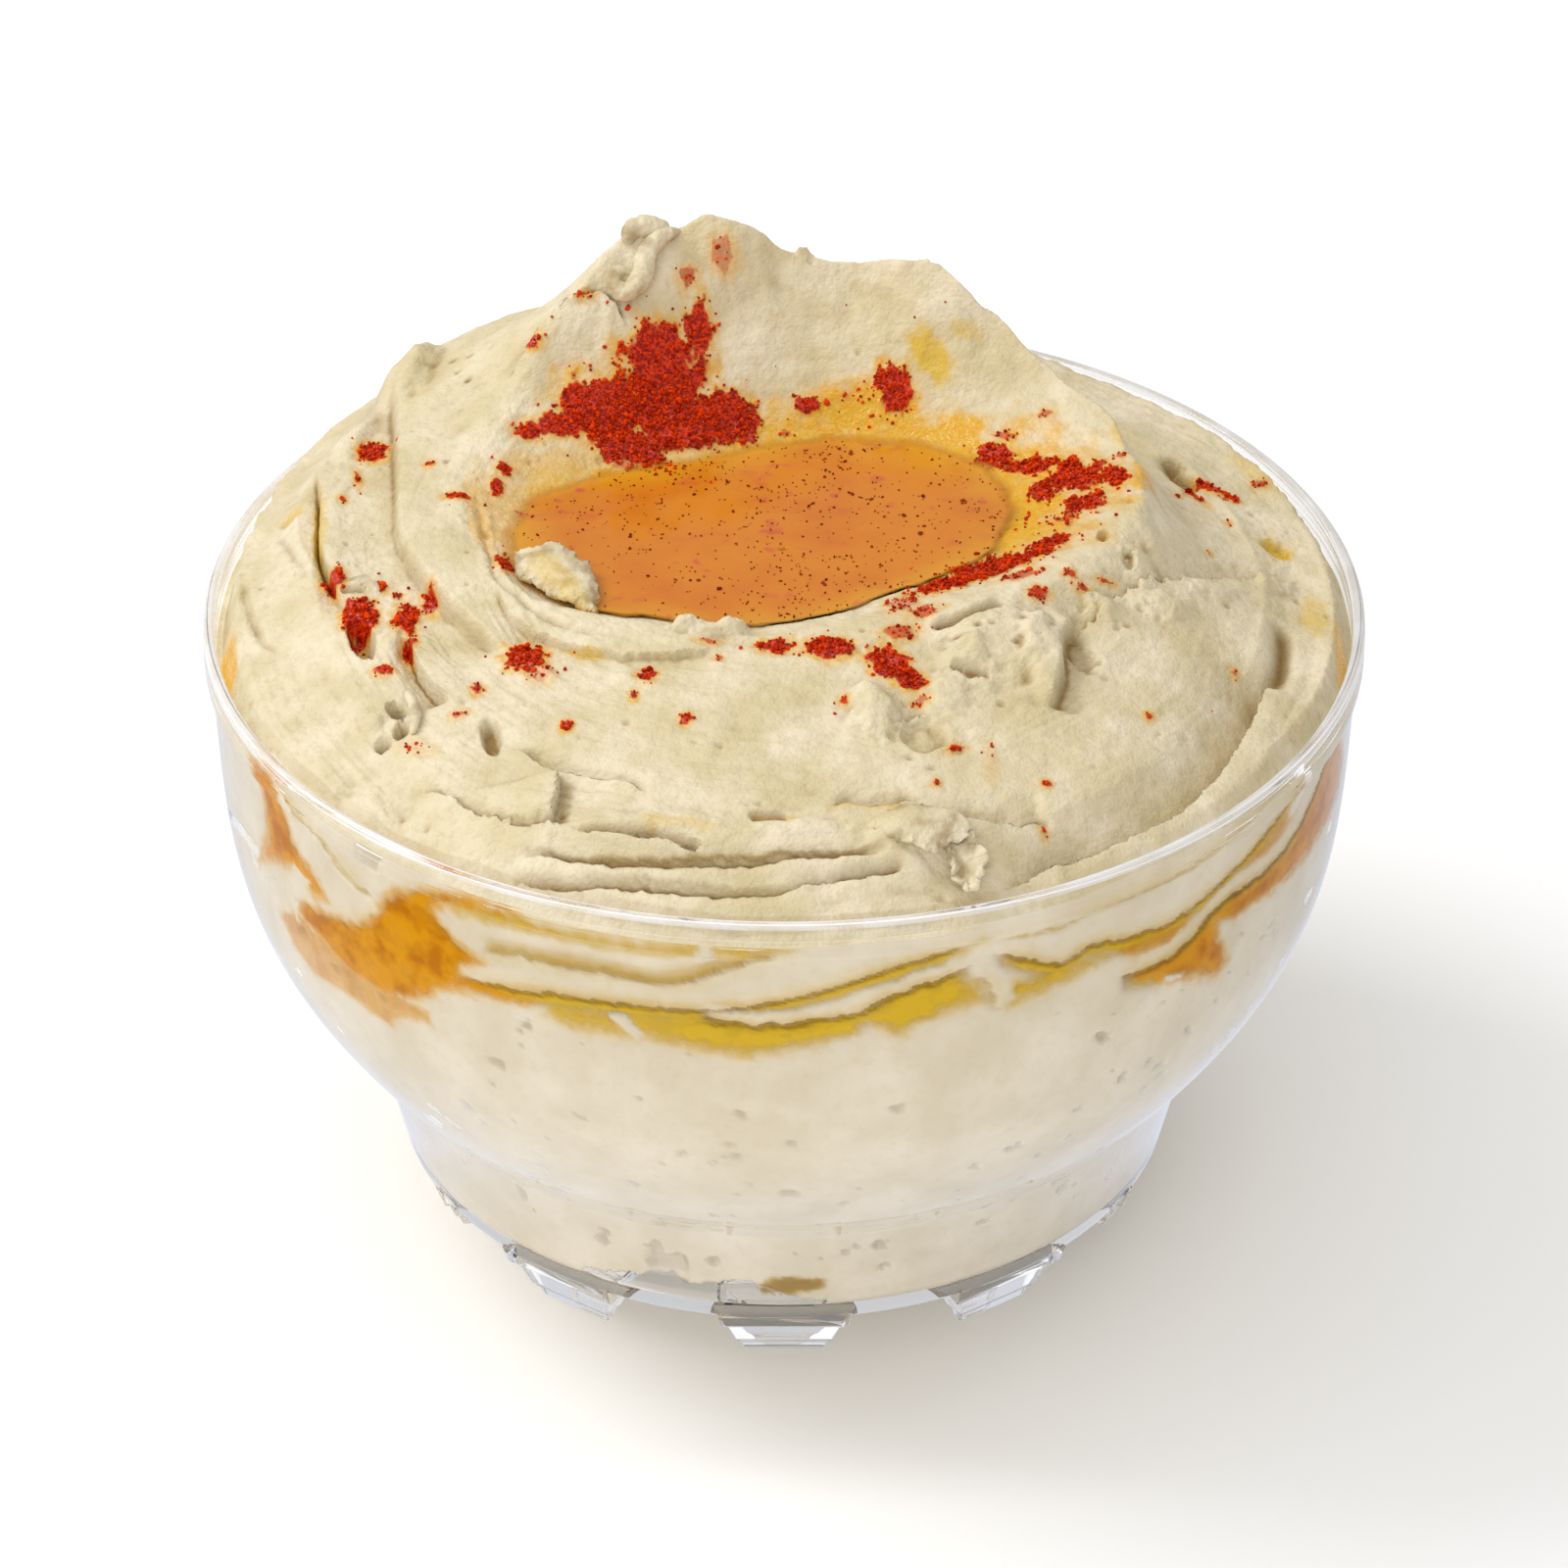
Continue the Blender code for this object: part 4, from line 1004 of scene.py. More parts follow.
class Finish:
    """One material and the nodes that make it."""

    def __init__(self, name):
        self.material = bpy.data.materials.new(name)
        self.material.use_nodes = True
        self.tree = self.material.node_tree
        self.tree.nodes.clear()
        self.output = self.add("ShaderNodeOutputMaterial")

    def add(self, kind, settings=None, sockets=None):
        node = self.tree.nodes.new(kind)
        for setting, value in (settings or {}).items():
            setattr(node, setting, value)
        for socket, value in (sockets or {}).items():
            if isinstance(value, Value):
                value = value.socket
            if isinstance(value, bpy.types.NodeSocket):
                self.tree.links.new(value, node.inputs[socket])
            elif node.inputs[socket].type == "RGBA":
                node.inputs[socket].default_value = (*value[:3], 1.0)
            else:
                node.inputs[socket].default_value = value
        return node

    def paint(self, name):
        node = self.add("ShaderNodeAttribute", {"attribute_name": name})
        return Value(self, node.outputs["Fac"])

    def place(self):
        return self.add("ShaderNodeTexCoord").outputs["Object"]

    def noise(self, size, detail=3.0, roughness=0.5):
        """Smooth noise with features of about a size in millimetres, from 0 to 1."""
        scale = 1.0 / (size * MM)
        sockets = {"Vector": self.place(), "Scale": scale, "Detail": detail, "Roughness": roughness}
        return Value(self, self.add("ShaderNodeTexNoise", None, sockets).outputs["Fac"])

    def mix(self, factor, first, second):
        sockets = {0: factor, 6: first, 7: second}
        return self.add("ShaderNodeMix", {"data_type": "RGBA"}, sockets).outputs[2]

    def bump(self, height, depth, strength):
        """Dents whose full range stands for a depth in millimetres."""
        sockets = {"Height": height, "Distance": depth * MM, "Strength": strength}
        return self.add("ShaderNodeBump", None, sockets).outputs[0]

    def surface(self, sockets):
        node = self.add("ShaderNodeBsdfPrincipled", None, sockets)
        self.tree.links.new(node.outputs[0], self.output.inputs["Surface"])
        return node


def hummus_finish(settings, oil, pressed_with_reflection=False):
    """The hummus itself. Where it lies against the wall it's paler and bluer, partly its own colour and
    partly a painted reflection of the pale studio in the wall, and has no shine of its own.
    """
    finish = Finish("pressed_hummus_reflection_finish" if pressed_with_reflection else "hummus_finish")
    painted_shade = finish.paint("painted_shade")
    gold = finish.paint("gold")
    amber = finish.paint("amber")
    dust = finish.paint("dust")
    broad = finish.noise(9.0, 2.0, 0.6)
    fine = finish.noise(1.3, 2.0, 0.7)
    grit = finish.noise(0.45, 1.0, 0.7)
    if pressed_with_reflection:
        colour = finish.mix(broad.above(0.35, 0.65), settings.pressed_with_reflection, settings.pressed_dark_with_reflection)
    else:
        colour = finish.mix(broad.above(0.38, 0.66) * 0.7, settings.light, settings.middle)
    colour = finish.mix(fine.above(0.48, 0.72) * (0.2 if pressed_with_reflection else 0.45), colour, settings.middle)
    # painted shade in the creases and hollows
    colour = finish.mix((painted_shade * 0.95).clipped(), colour, settings.shade)
    colour = finish.mix((gold * (0.7 + 0.6 * fine)).clipped() * 0.85, colour, oil.gold)
    amber_cover = (amber * (0.6 + 0.8 * fine)).clipped()
    stain = finish.mix(grit.above(0.35, 0.7), oil.amber, oil.gold)
    colour = finish.mix(amber_cover * 0.95, colour, stain)
    shine = 0.0
    if not pressed_with_reflection:
        red = finish.mix(grit.above(0.40, 0.62), settings.spice_dark, settings.spice_light)
        colour = finish.mix((dust * 2.2 - 1.1 + grit).clipped() * dust.above(0.1, 0.35), colour, red)
        shine = 0.35
    wet = (gold + amber).clipped()
    sockets = {
        "Base Color": colour, "Roughness": 0.55 - 0.36 * wet, "IOR": 1.42, "Specular IOR Level": shine,
    }
    if not pressed_with_reflection:
        sockets["Normal"] = finish.bump(fine + grit * 0.4, 0.30, 0.8)
    finish.surface(sockets)
    return finish.material


def clear_finish(settings, rim=False):
    """Clear plastic. On the rim a diffuse white is mixed in, a painted highlight where the moulded rim
    would gather the light.
    """
    finish = Finish("clear_rim_finish" if rim else "clear_plastic_finish")
    haze = finish.noise(9.0, 2.0)
    clear = finish.surface({
        "Base Color": settings.tint, "Roughness": 0.015 + 0.03 * haze.above(0.45, 0.75),
        "IOR": 1.42, "Transmission Weight": 1.0, "Specular IOR Level": 0.4 if rim else 0.2,
        "Normal": finish.bump(finish.noise(16.0, 1.0, 0.5), 0.10, 0.35),
    })
    if rim:
        rim_highlight = finish.surface({
            "Base Color": settings.rim_highlight, "Roughness": 0.4, "Specular IOR Level": 0.0,
        })
        share = (0.12 + 0.5 * haze.above(0.3, 0.8)).clipped()
        parts = {0: share, 1: clear.outputs[0], 2: rim_highlight.outputs[0]}
        both = finish.add("ShaderNodeMixShader", None, parts)
        finish.tree.links.new(both.outputs[0], finish.output.inputs["Surface"])
    return finish.material


def pool_finish(settings):
    finish = Finish("spiced_oil_finish")
    depth = finish.paint("depth")
    cloud = finish.noise(9.0, 3.0, 0.55)
    blot = finish.noise(2.2, 1.0, 0.4)
    blush = finish.noise(10.0, 2.0, 0.5).above(0.42, 0.62)
    colour = finish.mix(depth.above(0.0, 0.7), settings.edge, settings.deep)
    colour = finish.mix(cloud.above(0.42, 0.7) * 0.5, colour, settings.cloudy)
    colour = finish.mix(blot.above(0.62, 0.74) * blush * 0.75, colour, settings.blush)
    finish.surface({
        "Base Color": colour, "Roughness": 0.10, "IOR": 1.47, "Specular IOR Level": 0.3,
        "Alpha": (depth * 6.0).clipped() ** 0.8,
        "Normal": finish.bump(finish.noise(12.0, 2.0), 0.25, 0.25),
    })
    return finish.material


def film_finish(settings):
    """The oil that has run down between the food and the wall."""
    finish = Finish("wall_oil_finish")
    amber = finish.paint("amber")
    thick = finish.paint("thick")
    deep = finish.paint("painted_shade")
    cloud = finish.noise(4.0, 3.0, 0.6)
    colour = finish.mix(amber.above(0.15, 0.8), settings.gold, settings.amber)
    colour = finish.mix(cloud.above(0.42, 0.62) * amber.above(0.3, 0.9) * 0.75, colour, settings.brown)
    # painted shade: the folds' dark line, carried by the painted shade paint
    colour = finish.mix((deep * 0.95).clipped(), colour, settings.dark)
    finish.surface({
        "Base Color": colour, "Roughness": 0.3, "IOR": 1.47, "Specular IOR Level": 0.05,
        "Alpha": (thick * (0.4 + 1.2 * cloud)).clipped() * 0.94,
    })
    return finish.material


def grain_finish(name, dark, light, roughness=0.6):
    finish = Finish(name)
    tone = finish.paint("tone")
    grit = finish.noise(0.3, 2.0)
    colour = finish.mix((tone * 0.8 + grit * 0.4 - 0.1).clipped(), dark, light)
    finish.surface({
        "Base Color": colour, "Roughness": roughness - 0.2 * grit, "Specular IOR Level": 0.05,
    })
    return finish.material


def floor_finish(settings):
    finish = Finish("floor_finish")
    finish.surface({"Base Color": settings.floor, "Roughness": 0.9, "Specular IOR Level": 0.0})
    return finish.material


def flag_finish(settings):
    """What the ground's reflection shows: a glowing card that paints the reflections in the wall, dark in
    front of the bowl, pale under and behind it.
    """
    finish = Finish("flag_finish")
    finish.material.cycles.emission_sampling = "NONE"
    place = finish.place()
    length_node = finish.add("ShaderNodeVectorMath", {"operation": "LENGTH"}, {0: place})
    split_node = finish.add("ShaderNodeSeparateXYZ", None, {0: place})
    far = Value(finish, length_node.outputs["Value"]).above(0.075, 0.13)
    back = Value(finish, split_node.outputs["Y"]).above(-0.04, 0.10)
    dark = far * (1.0 - back)
    colour = finish.mix(dark, settings.glow, settings.flag)
    black = (0.0, 0.0, 0.0)
    finish.surface({
        "Base Color": black, "Specular IOR Level": 0.0, "Emission Color": colour, "Emission Strength": 1.0,
    })
    return finish.material


# ---------------------------------------------------------------- settings


def colour(name, description, default):
    return FloatVectorProperty(
        name=name, description=description, default=default, subtype="COLOR", min=0.0, max=1.0
    )


def length(name, description, default):
    """A length kept in metres."""
    return FloatProperty(
        name=name, description=description, default=default, unit="LENGTH", subtype="DISTANCE", precision=5
    )


class BowlSettings(bpy.types.PropertyGroup):
    sides: IntProperty(name="Sides", description="Segments round the bowl", default=288, min=48)
    lip: length("Lip rounding", "Radius of the rim's rounded top", 0.0006)
    tint: colour("Tint", "Colour of the clear plastic", (0.985, 0.99, 0.995))
    # painted highlight: white mixed into the rim's clear plastic
    rim_highlight: colour("Frost", "Light that the moulded edges gather", (0.86, 0.88, 0.96))


class FoodSettings(bpy.types.PropertyGroup):
    columns: IntProperty(name="Columns", description="Columns of the food's mesh", default=880, min=90)
    rings: IntProperty(name="Rings", description="Rings over the food's top", default=204, min=40)
    side_rings: IntProperty(name="Side rings", description="Rings down the side", default=168, min=20)
    light: colour("Light", "Hummus where it is palest", (0.73, 0.635, 0.45))
    middle: colour("Middle", "Hummus over most of its surface", (0.56, 0.455, 0.235))
    # painted shade, laid into the creases and hollows
    shade: colour("Shade", "Hummus deep in its creases", (0.23, 0.12, 0.010))
    # the food against the wall: its own colour made paler and bluer, partly a painted reflection of the
    # pale studio in the wall
    pressed_with_reflection: colour("Pressed", "Hummus against the wall", (0.75, 0.665, 0.525))
    pressed_dark_with_reflection: colour("Pressed, dark", "Darker hummus against the wall", (0.66, 0.575, 0.425))
    spice_dark: colour("Spice, dark", "Paprika dust in its dark parts", (0.26, 0.004, 0.001))
    spice_light: colour("Spice, light", "Paprika dust in its light parts", (0.66, 0.035, 0.001))


class OilSettings(bpy.types.PropertyGroup):
    deep: colour("Deep oil", "Spiced oil where the pool is deep", (0.60, 0.19, 0.010))
    edge: colour("Oil's edge", "Spiced oil where the pool is thin", (0.64, 0.30, 0.014))
    cloudy: colour("Cloudy oil", "Oil where fine spice floats", (0.50, 0.10, 0.008))
    blush: colour("Blush", "Paprika sunk in the oil", (0.50, 0.045, 0.045))
    amber: colour("Amber", "Thin spiced oil on the food", (0.70, 0.30, 0.0))
    gold: colour("Gold", "Thin clear oil on the food", (0.64, 0.41, 0.022))
    brown: colour("Brown oil", "Spiced oil where it stands thick against the wall", (0.40, 0.11, 0.0))
    # painted shade of the folds, laid over the wall's oil
    dark: colour("Dark oil", "Oil deep in the folds", (0.17, 0.07, 0.0))


class SpiceSettings(bpy.types.PropertyGroup):
    grain: length("Grain", "Middle size of a paprika grain", 0.00036)
    crowding: FloatProperty(
        name="Crowding", description="Grains in a square millimetre", default=11.5, min=0.1
    )
    specks: IntProperty(
        name="Specks", description="Dark specks that float in the oil", default=900, min=0
    )
    seed: IntProperty(name="Seed", description="Changes the scatter", default=4, min=0)
    dark: colour("Dark", "Darkest grains", (0.20, 0.002, 0.001))
    light: colour("Light", "Palest grains", (0.85, 0.060, 0.001))


class StageSettings(bpy.types.PropertyGroup):
    floor: colour("Floor", "Colour of the floor", (0.96, 0.96, 0.96))
    flag: colour("Flag", "What the front of the wall reflects", (0.05, 0.05, 0.05))
    glow: colour("Glow", "What the edges of the wall reflect", (0.78, 0.83, 0.97))
    distance: length("Distance", "From the camera to the bowl", 0.8)
    height: FloatProperty(
        name="View height", description="Camera's angle above the floor", default=math.radians(32.83),
        subtype="ANGLE", unit="ROTATION",
    )
    lens: FloatProperty(name="Lens", description="Focal length in millimetres", default=167.58, min=20.0)
    light: FloatProperty(name="Light", description="Brightness of the lamps", default=1.0, min=0.0)


# ---------------------------------------------------------------- operators


class HUMMUS_OT_stage(bpy.types.Operator):
    """Lay the floor, hang the lamps and set the camera"""

    bl_idname = "hummus.stage"
    bl_label = "Stage"

    def execute(self, context):
        settings = context.scene.hummus_stage
        self.lay_floor(settings)
        self.set_world(context.scene, settings)
        self.hang_lamps(context.scene, settings)
        self.set_camera(context.scene, settings)
        context.scene.view_settings.view_transform = "Standard"
        return {"FINISHED"}

    def lay_floor(self, settings):
        """The floor, and a flag just over it that shows in reflections alone."""
        half = FLOOR_HALF / MM
        corners = ((-half, -half), (half, -half), (half, half), (-half, half))
        floor, flag = (
            add_mesh(name, [(x, y, height) for x, y in corners], [(0, 1, 2, 3)], material=finish)
            for name, height, finish in (
                ("floor", -0.02, floor_finish(settings)), ("flag", -0.01, flag_finish(settings)),
            )
        )
        floor.visible_glossy = False
        flag.visible_camera = flag.visible_shadow = False
        flag.visible_diffuse = flag.visible_transmission = False

    def set_world(self, scene, settings):
        world = bpy.data.worlds.new("studio")
        world.use_nodes = True
        background = world.node_tree.nodes["Background"]
        background.inputs["Color"].default_value = (1.0, 1.0, 1.0, 1.0)
        background.inputs["Strength"].default_value = WORLD_LIGHT * settings.light
        scene.world = world

    def hang_lamps(self, scene, settings):
        for name, place, size, watts, shines in LAMPS:
            lamp = bpy.data.lights.new(name, "AREA")
            lamp.shape = "RECTANGLE"
            lamp.size, lamp.size_y = size
            lamp.energy = watts * settings.light
            holder = bpy.data.objects.new(name, lamp)
            holder.location = place
            aim = LAMP_TARGET - Vector(place)
            holder.rotation_euler = aim.to_track_quat("-Z", "Y").to_euler()
            holder.visible_transmission = False
            holder.visible_glossy = shines
            scene.collection.objects.link(holder)

    def set_camera(self, scene, settings):
        camera = bpy.data.cameras.new("camera")
        camera.lens = settings.lens
        camera.sensor_width = 36.0
        camera.clip_start = 0.01
        holder = bpy.data.objects.new("camera", camera)
        holder.location = (
            0.0,
            -settings.distance * math.cos(settings.height),
            VIEW_CENTRE_HEIGHT + settings.distance * math.sin(settings.height),
        )
        holder.rotation_euler = (math.pi / 2 - settings.height, 0.0, 0.0)
        scene.collection.objects.link(holder)
        scene.camera = holder


class HUMMUS_OT_bowl(bpy.types.Operator):
    """Mould the clear bowl with its rim, its step and its feet"""

    bl_idname = "hummus.bowl"
    bl_label = "Bowl"

    def execute(self, context):
        settings = context.scene.hummus_bowl
        bowl = self.turn(self.profile(settings), settings.sides)
        feet = self.feet()
        union = bowl.modifiers.new("feet", "BOOLEAN")
        union.operation = "UNION"
        union.solver = "EXACT"
        union.object = feet
        bpy.context.view_layer.update()
        graph = bpy.context.evaluated_depsgraph_get()
        whole = bpy.data.meshes.new_from_object(bowl.evaluated_get(graph))
        bowl.modifiers.clear()
        bowl.data = whole
        bpy.data.objects.remove(feet, do_unlink=True)
        whole.shade_smooth()
        whole.set_sharp_from_angle(angle=math.radians(28.0))
        whole.materials.clear()
        whole.materials.append(clear_finish(settings))
        whole.materials.append(clear_finish(settings, rim=True))
        for face in whole.polygons:
            face.material_index = int(face.center.z > (RIM_HEIGHT - settings.lip / MM) * MM)
        bowl.visible_shadow = False
        bowl.visible_diffuse = False
        carry_over(bowl, "clear_plastic", "bowl")
        return {"FINISHED"}

    def profile(self, settings):
        """The wall's whole outline, from the middle of the floor, up, over the rim and back under."""
        lip = settings.lip / MM
        turn = np.linspace(0.0, math.pi, 13)
        middle = RIM_RADIUS - WALL / 2
        half = WALL / 2
        rim = np.stack([middle - half * np.cos(turn), RIM_HEIGHT - lip + lip * np.sin(turn)], 1)
        collar = []
        for ring in (1.9, 2.7):
            height = RIM_HEIGHT - ring
            for rise, cut in ((0.14, 0.0), (0.05, 0.07), (-0.05, 0.07), (-0.14, 0.0)):
                collar.append((RIM_RADIUS - cut, height + rise))
        collar += [
            (RIM_RADIUS, RIM_HEIGHT - COLLAR_HEIGHT + 0.5),
            (RIM_RADIUS - 0.08, RIM_HEIGHT - COLLAR_HEIGHT + 0.15),
            (RIM_RADIUS - 0.3, RIM_HEIGHT - COLLAR_HEIGHT - 0.1),
            (RIM_RADIUS - COLLAR_STEP, RIM_HEIGHT - COLLAR_HEIGHT - 0.55),
            (RIM_RADIUS - COLLAR_STEP - 0.06, RIM_HEIGHT - COLLAR_HEIGHT - 1.6),
        ]
        base = [
            (BASE_RADIUS + 0.35, BASE_HEIGHT + 1.6), (BASE_RADIUS + 0.15, BASE_HEIGHT + 0.75),
            (BASE_RADIUS - 0.25, BASE_HEIGHT + 0.25), (BASE_RADIUS - 0.9, BASE_HEIGHT),
            (0.0, BASE_HEIGHT),
        ]
        return np.vstack([(0.0, FLOOR), INNER_FACE, rim, collar, belly_curve(), base])

    def turn(self, profile, sides):
        """A closed skin: the profile's rings joined round the axis, with both ends on it."""
        rings = profile[1:-1]
        angles = np.linspace(0.0, math.tau, sides, endpoint=False)[:, None]
        grid = np.stack(
            [rings[:, 0] * np.cos(angles), rings[:, 0] * np.sin(angles), rings[:, 1] + 0.0 * angles], -1
        )
        bm = bmesh.new()
        spots = [bm.verts.new(spot * MM) for spot in grid.reshape(-1, 3)]
        for corners in grid_faces(sides, len(rings)):
            bm.faces.new([spots[corner] for corner in corners])
        for end, ring in ((profile[0], 0), (profile[-1], len(rings) - 1)):
            middle = bm.verts.new((0.0, 0.0, end[1] * MM))
            for i in range(sides):
                here, there = i * len(rings) + ring, (i + 1) % sides * len(rings) + ring
                bm.faces.new((middle, spots[here], spots[there]))
        bmesh.ops.recalc_face_normals(bm, faces=bm.faces)
        mesh = bpy.data.meshes.new("clear_bowl")
        bm.to_mesh(mesh)
        bm.free()
        bowl = bpy.data.objects.new("clear_bowl", mesh)
        bpy.context.scene.collection.objects.link(bowl)
        return bowl

    def feet(self):
        """Stepped tabs round the base, with their edges eased."""
        bm = bmesh.new()
        for i in range(FEET):
            made = []
            for height, half, outer, inner in FOOT_SECTIONS:
                corners = ((-half, -outer), (half, -outer), (half, -inner), (-half, -inner))
                made.append([bm.verts.new((x * MM, y * MM, height * MM)) for x, y in corners])
            for upper, lower in zip(made, made[1:]):
                for k in range(4):
                    near = (k + 1) % 4
                    bm.faces.new((upper[k], upper[near], lower[near], lower[k]))
            bm.faces.new(made[0])
            bm.faces.new(made[-1][::-1])
            spin = Matrix.Rotation(math.tau * i / FEET, 3, "Z")
            bmesh.ops.rotate(bm, verts=[v for ring in made for v in ring], cent=(0, 0, 0), matrix=spin)
        bmesh.ops.recalc_face_normals(bm, faces=bm.faces)
        bmesh.ops.bevel(
            bm, geom=list(bm.edges), offset=0.22 * MM, segments=2, profile=0.5, affect="EDGES"
        )
        mesh = bpy.data.meshes.new("feet_shape")
        bm.to_mesh(mesh)
        bm.free()
        feet = bpy.data.objects.new("feet_shape", mesh)
        bpy.context.scene.collection.objects.link(feet)
        return feet


class HUMMUS_OT_food(bpy.types.Operator):
    """Swirl the hummus and press its side against the wall"""

    bl_idname = "hummus.food"
    bl_label = "Hummus"

    def execute(self, context):
        settings = context.scene.hummus_food
        finish = hummus_finish(settings, context.scene.hummus_oil)
        self.make_top(settings, finish)
        self.make_side(settings, hummus_finish(settings, context.scene.hummus_oil, pressed_with_reflection=True))
        return {"FINISHED"}

    def angles(self, settings):
        """Columns stand closer together at the front, where the relief is finest."""
        even = np.linspace(0.0, 360.0, settings.columns, endpoint=False)
        return even + 20.0 * np.cos(np.radians(even))

    def make_top(self, settings, finish):
        angles = self.angles(settings)[:, None]
        edge = edge_height(angles)
        reach = reach_to_wall(angles, edge)
        pool = around(POOL_EDGE, angles)
        near = np.linspace(0.02, 1.0, POOL_RINGS) * pool
        share = np.linspace(0.0, 1.0, settings.rings - POOL_RINGS + 1)[1:]
        out = pool + share * (reach - pool)
        distance = np.concatenate([near, out], axis=1)
        turn = np.radians(angles)
        x = CRATER[0] + distance * np.cos(turn)
        y = CRATER[1] + distance * np.sin(turn)
        top = Top(x.ravel(), y.ravel())
        grid = np.stack([top.x + top.shift[0], top.y + top.shift[1], top.height], -1)
        grid = grid.reshape(settings.columns, settings.rings, 3)
        self.rim_line = grid[:, -1]
        normals = grid_normals(grid)
        height = grid[..., 2]
        # painted shade: darker where a spot lies below its neighbours, at two sizes, less on steep faces,
        # and wherever the painted crease shade is
        painted_shade = np.clip(1.1 * self.depth_below(height, 4, 4) - 0.08, 0.0, 0.8)
        painted_shade += np.clip(0.14 * self.depth_below(height, 16, 11), 0.0, 0.3)
        outside = (top.distance > top.crest).reshape(height.shape)
        painted_shade *= step(0.1, 0.9, height - POOL_LEVEL) + outside
        painted_shade *= np.clip(1.5 * normals[..., 2] - 0.15, 0.0, 1.0)
        painted_shade = np.minimum(np.maximum(painted_shade, 0.95 * top.painted_crease_shade.reshape(height.shape)), 0.95)
        painted_shade[:, -5:] = 0.0
        paints = {
            "painted_shade": painted_shade, "dust": top.dust.reshape(height.shape),
            "gold": film(GOLD, top.x, top.y).reshape(height.shape),
            "amber": self.amber_near_pool(top, height.shape),
        }
        half = POOL_RINGS + (settings.rings - POOL_RINGS) // 2
        for name, rings in (("hummus_crater", slice(0, half + 1)), ("hummus_flank", slice(half, None))):
            part = grid[:, rings]
            points = part.reshape(-1, 3)
            picked = {paint: values[:, rings] for paint, values in paints.items()}
            faces = grid_faces(settings.columns, part.shape[1])
            piece = add_mesh(name, points, faces, picked, normals[:, rings], finish)
            carry_over(piece, "hummus", "hummus")

    def depth_below(self, height, columns, rings):
        """How far each spot lies under the four that are so many columns and rings away."""
        around_it = np.roll(height, columns, 0) + np.roll(height, -columns, 0)
        along_it = np.roll(height, rings, 1) + np.roll(height, -rings, 1)
        return 0.25 * (around_it + along_it) - height

    def amber_near_pool(self, top, shape):
        """The spiced oil's stain: its drips, and a band that creeps up from the pool."""
        uneven = 1.6 * BROAD.layered(top.x / 3.5, top.y / 3.5, 9.0)
        creep = step(3.4, 0.6, top.height - POOL_LEVEL + uneven) * (top.distance < top.crest)
        creep *= step(-13.0, 0.0, top.y) * (0.55 + 0.45 * step(-16.0, -2.0, top.x))
        stain = np.maximum(film(AMBER, top.x, top.y), creep)
        return np.maximum(stain, 0.9 * top.stain).reshape(shape)

    def make_side(self, settings, finish):
        rim = self.rim_line
        azimuth = np.mod(np.degrees(np.arctan2(rim[:, 1], rim[:, 0])), 360.0)[:, None]
        upper_rings = settings.side_rings // 2
        upper = rim[:, 2:3] + (SPLIT_HEIGHT - rim[:, 2:3]) * np.linspace(0.0, 1.0, upper_rings)
        lower_rings = settings.side_rings - upper_rings
        lower = np.linspace(SPLIT_HEIGHT, FLOOR + 0.02, lower_rings + 1)[1:]
        height = np.concatenate([upper, np.broadcast_to(lower, (len(rim), len(lower)))], axis=1)
        side = Side(np.broadcast_to(azimuth, height.shape).ravel(), height.ravel())
        inset = side.inset.reshape(height.shape) + INTO_WALL
        inset = inset * step(0.0, 0.8, rim[:, 2:3] - height) - INTO_WALL
        turn = np.radians(azimuth)
        radius = wall_radius(height) - inset
        grid = np.stack([radius * np.cos(turn), radius * np.sin(turn), height], -1)
        grid[:, 0] = rim
        normals = grid_normals(grid)
        paints = {name: getattr(side, name).reshape(height.shape) for name in ("gold", "amber", "painted_shade")}
        paints["dust"] = np.zeros(height.shape)
        for name, rings in (
            ("hummus_side", slice(0, upper_rings + 1)), ("hummus_base", slice(upper_rings, None)),
        ):
            part = grid[:, rings]
            count = part.shape[1]
            points, turned = part.reshape(-1, 3), normals[:, rings].reshape(-1, 3)
            picked = {paint: values[:, rings].ravel() for paint, values in paints.items()}
            faces = triangles(grid_faces(settings.columns, count))
            if name == "hummus_base":
                ring = np.arange(settings.columns) * count + count - 1
                fan = np.stack([ring, np.full(len(ring), len(points)), np.roll(ring, -1)], 1)
                faces = np.concatenate([faces, fan])
                points = np.vstack([points, (0.0, 0.0, FLOOR - 0.05)])
                turned = np.vstack([turned, (0.0, 0.0, -1.0)])
                picked = {paint: np.append(values, 0.0) for paint, values in picked.items()}
            piece = add_mesh(name, points, faces, picked, turned, finish)
            carry_over(piece, "hummus", "hummus")
        self.make_film(grid, paints, settings)

    def make_film(self, grid, paints, settings):
        """Oil between the food and the wall, kept where it has any thickness."""
        radius = np.hypot(grid[..., 0], grid[..., 1])
        gap = wall_radius(grid[..., 2]) - radius
        cover = np.maximum(paints["gold"], paints["amber"])
        thick = np.clip((cover - 0.2) * (1.0 + 0.9 * np.clip(gap, 0.0, 1.0)), 0.0, 1.0)
        faces = grid_faces(settings.columns, settings.side_rings)
        kept = faces[(thick.reshape(-1)[faces].max(1) > 0.06)]
        used, index = np.unique(kept, return_inverse=True)
        outer = grid.reshape(-1, 3)[used].copy()
        inner = outer.copy()
        around_axis = np.hypot(outer[:, 0], outer[:, 1])
        outer[:, :2] *= ((wall_radius(outer[:, 2]) + 0.08) / around_axis)[:, None]
        inner[:, :2] *= (1.0 - 0.3 / around_axis)[:, None]
        flat = {name: paints[name].reshape(-1)[used] for name in ("amber", "painted_shade")}
        flat["thick"] = thick.reshape(-1)[used]
        piece = add_mesh(
            "wall_oil_film", np.concatenate([outer, inner]),
            shell_faces(index.reshape(kept.shape), len(used)),
            {name: np.tile(v, 2) for name, v in flat.items()},
            None, film_finish(bpy.context.scene.hummus_oil),
        )
        piece.visible_shadow = False
        carry_over(piece, "golden_oil", "wall_oil")


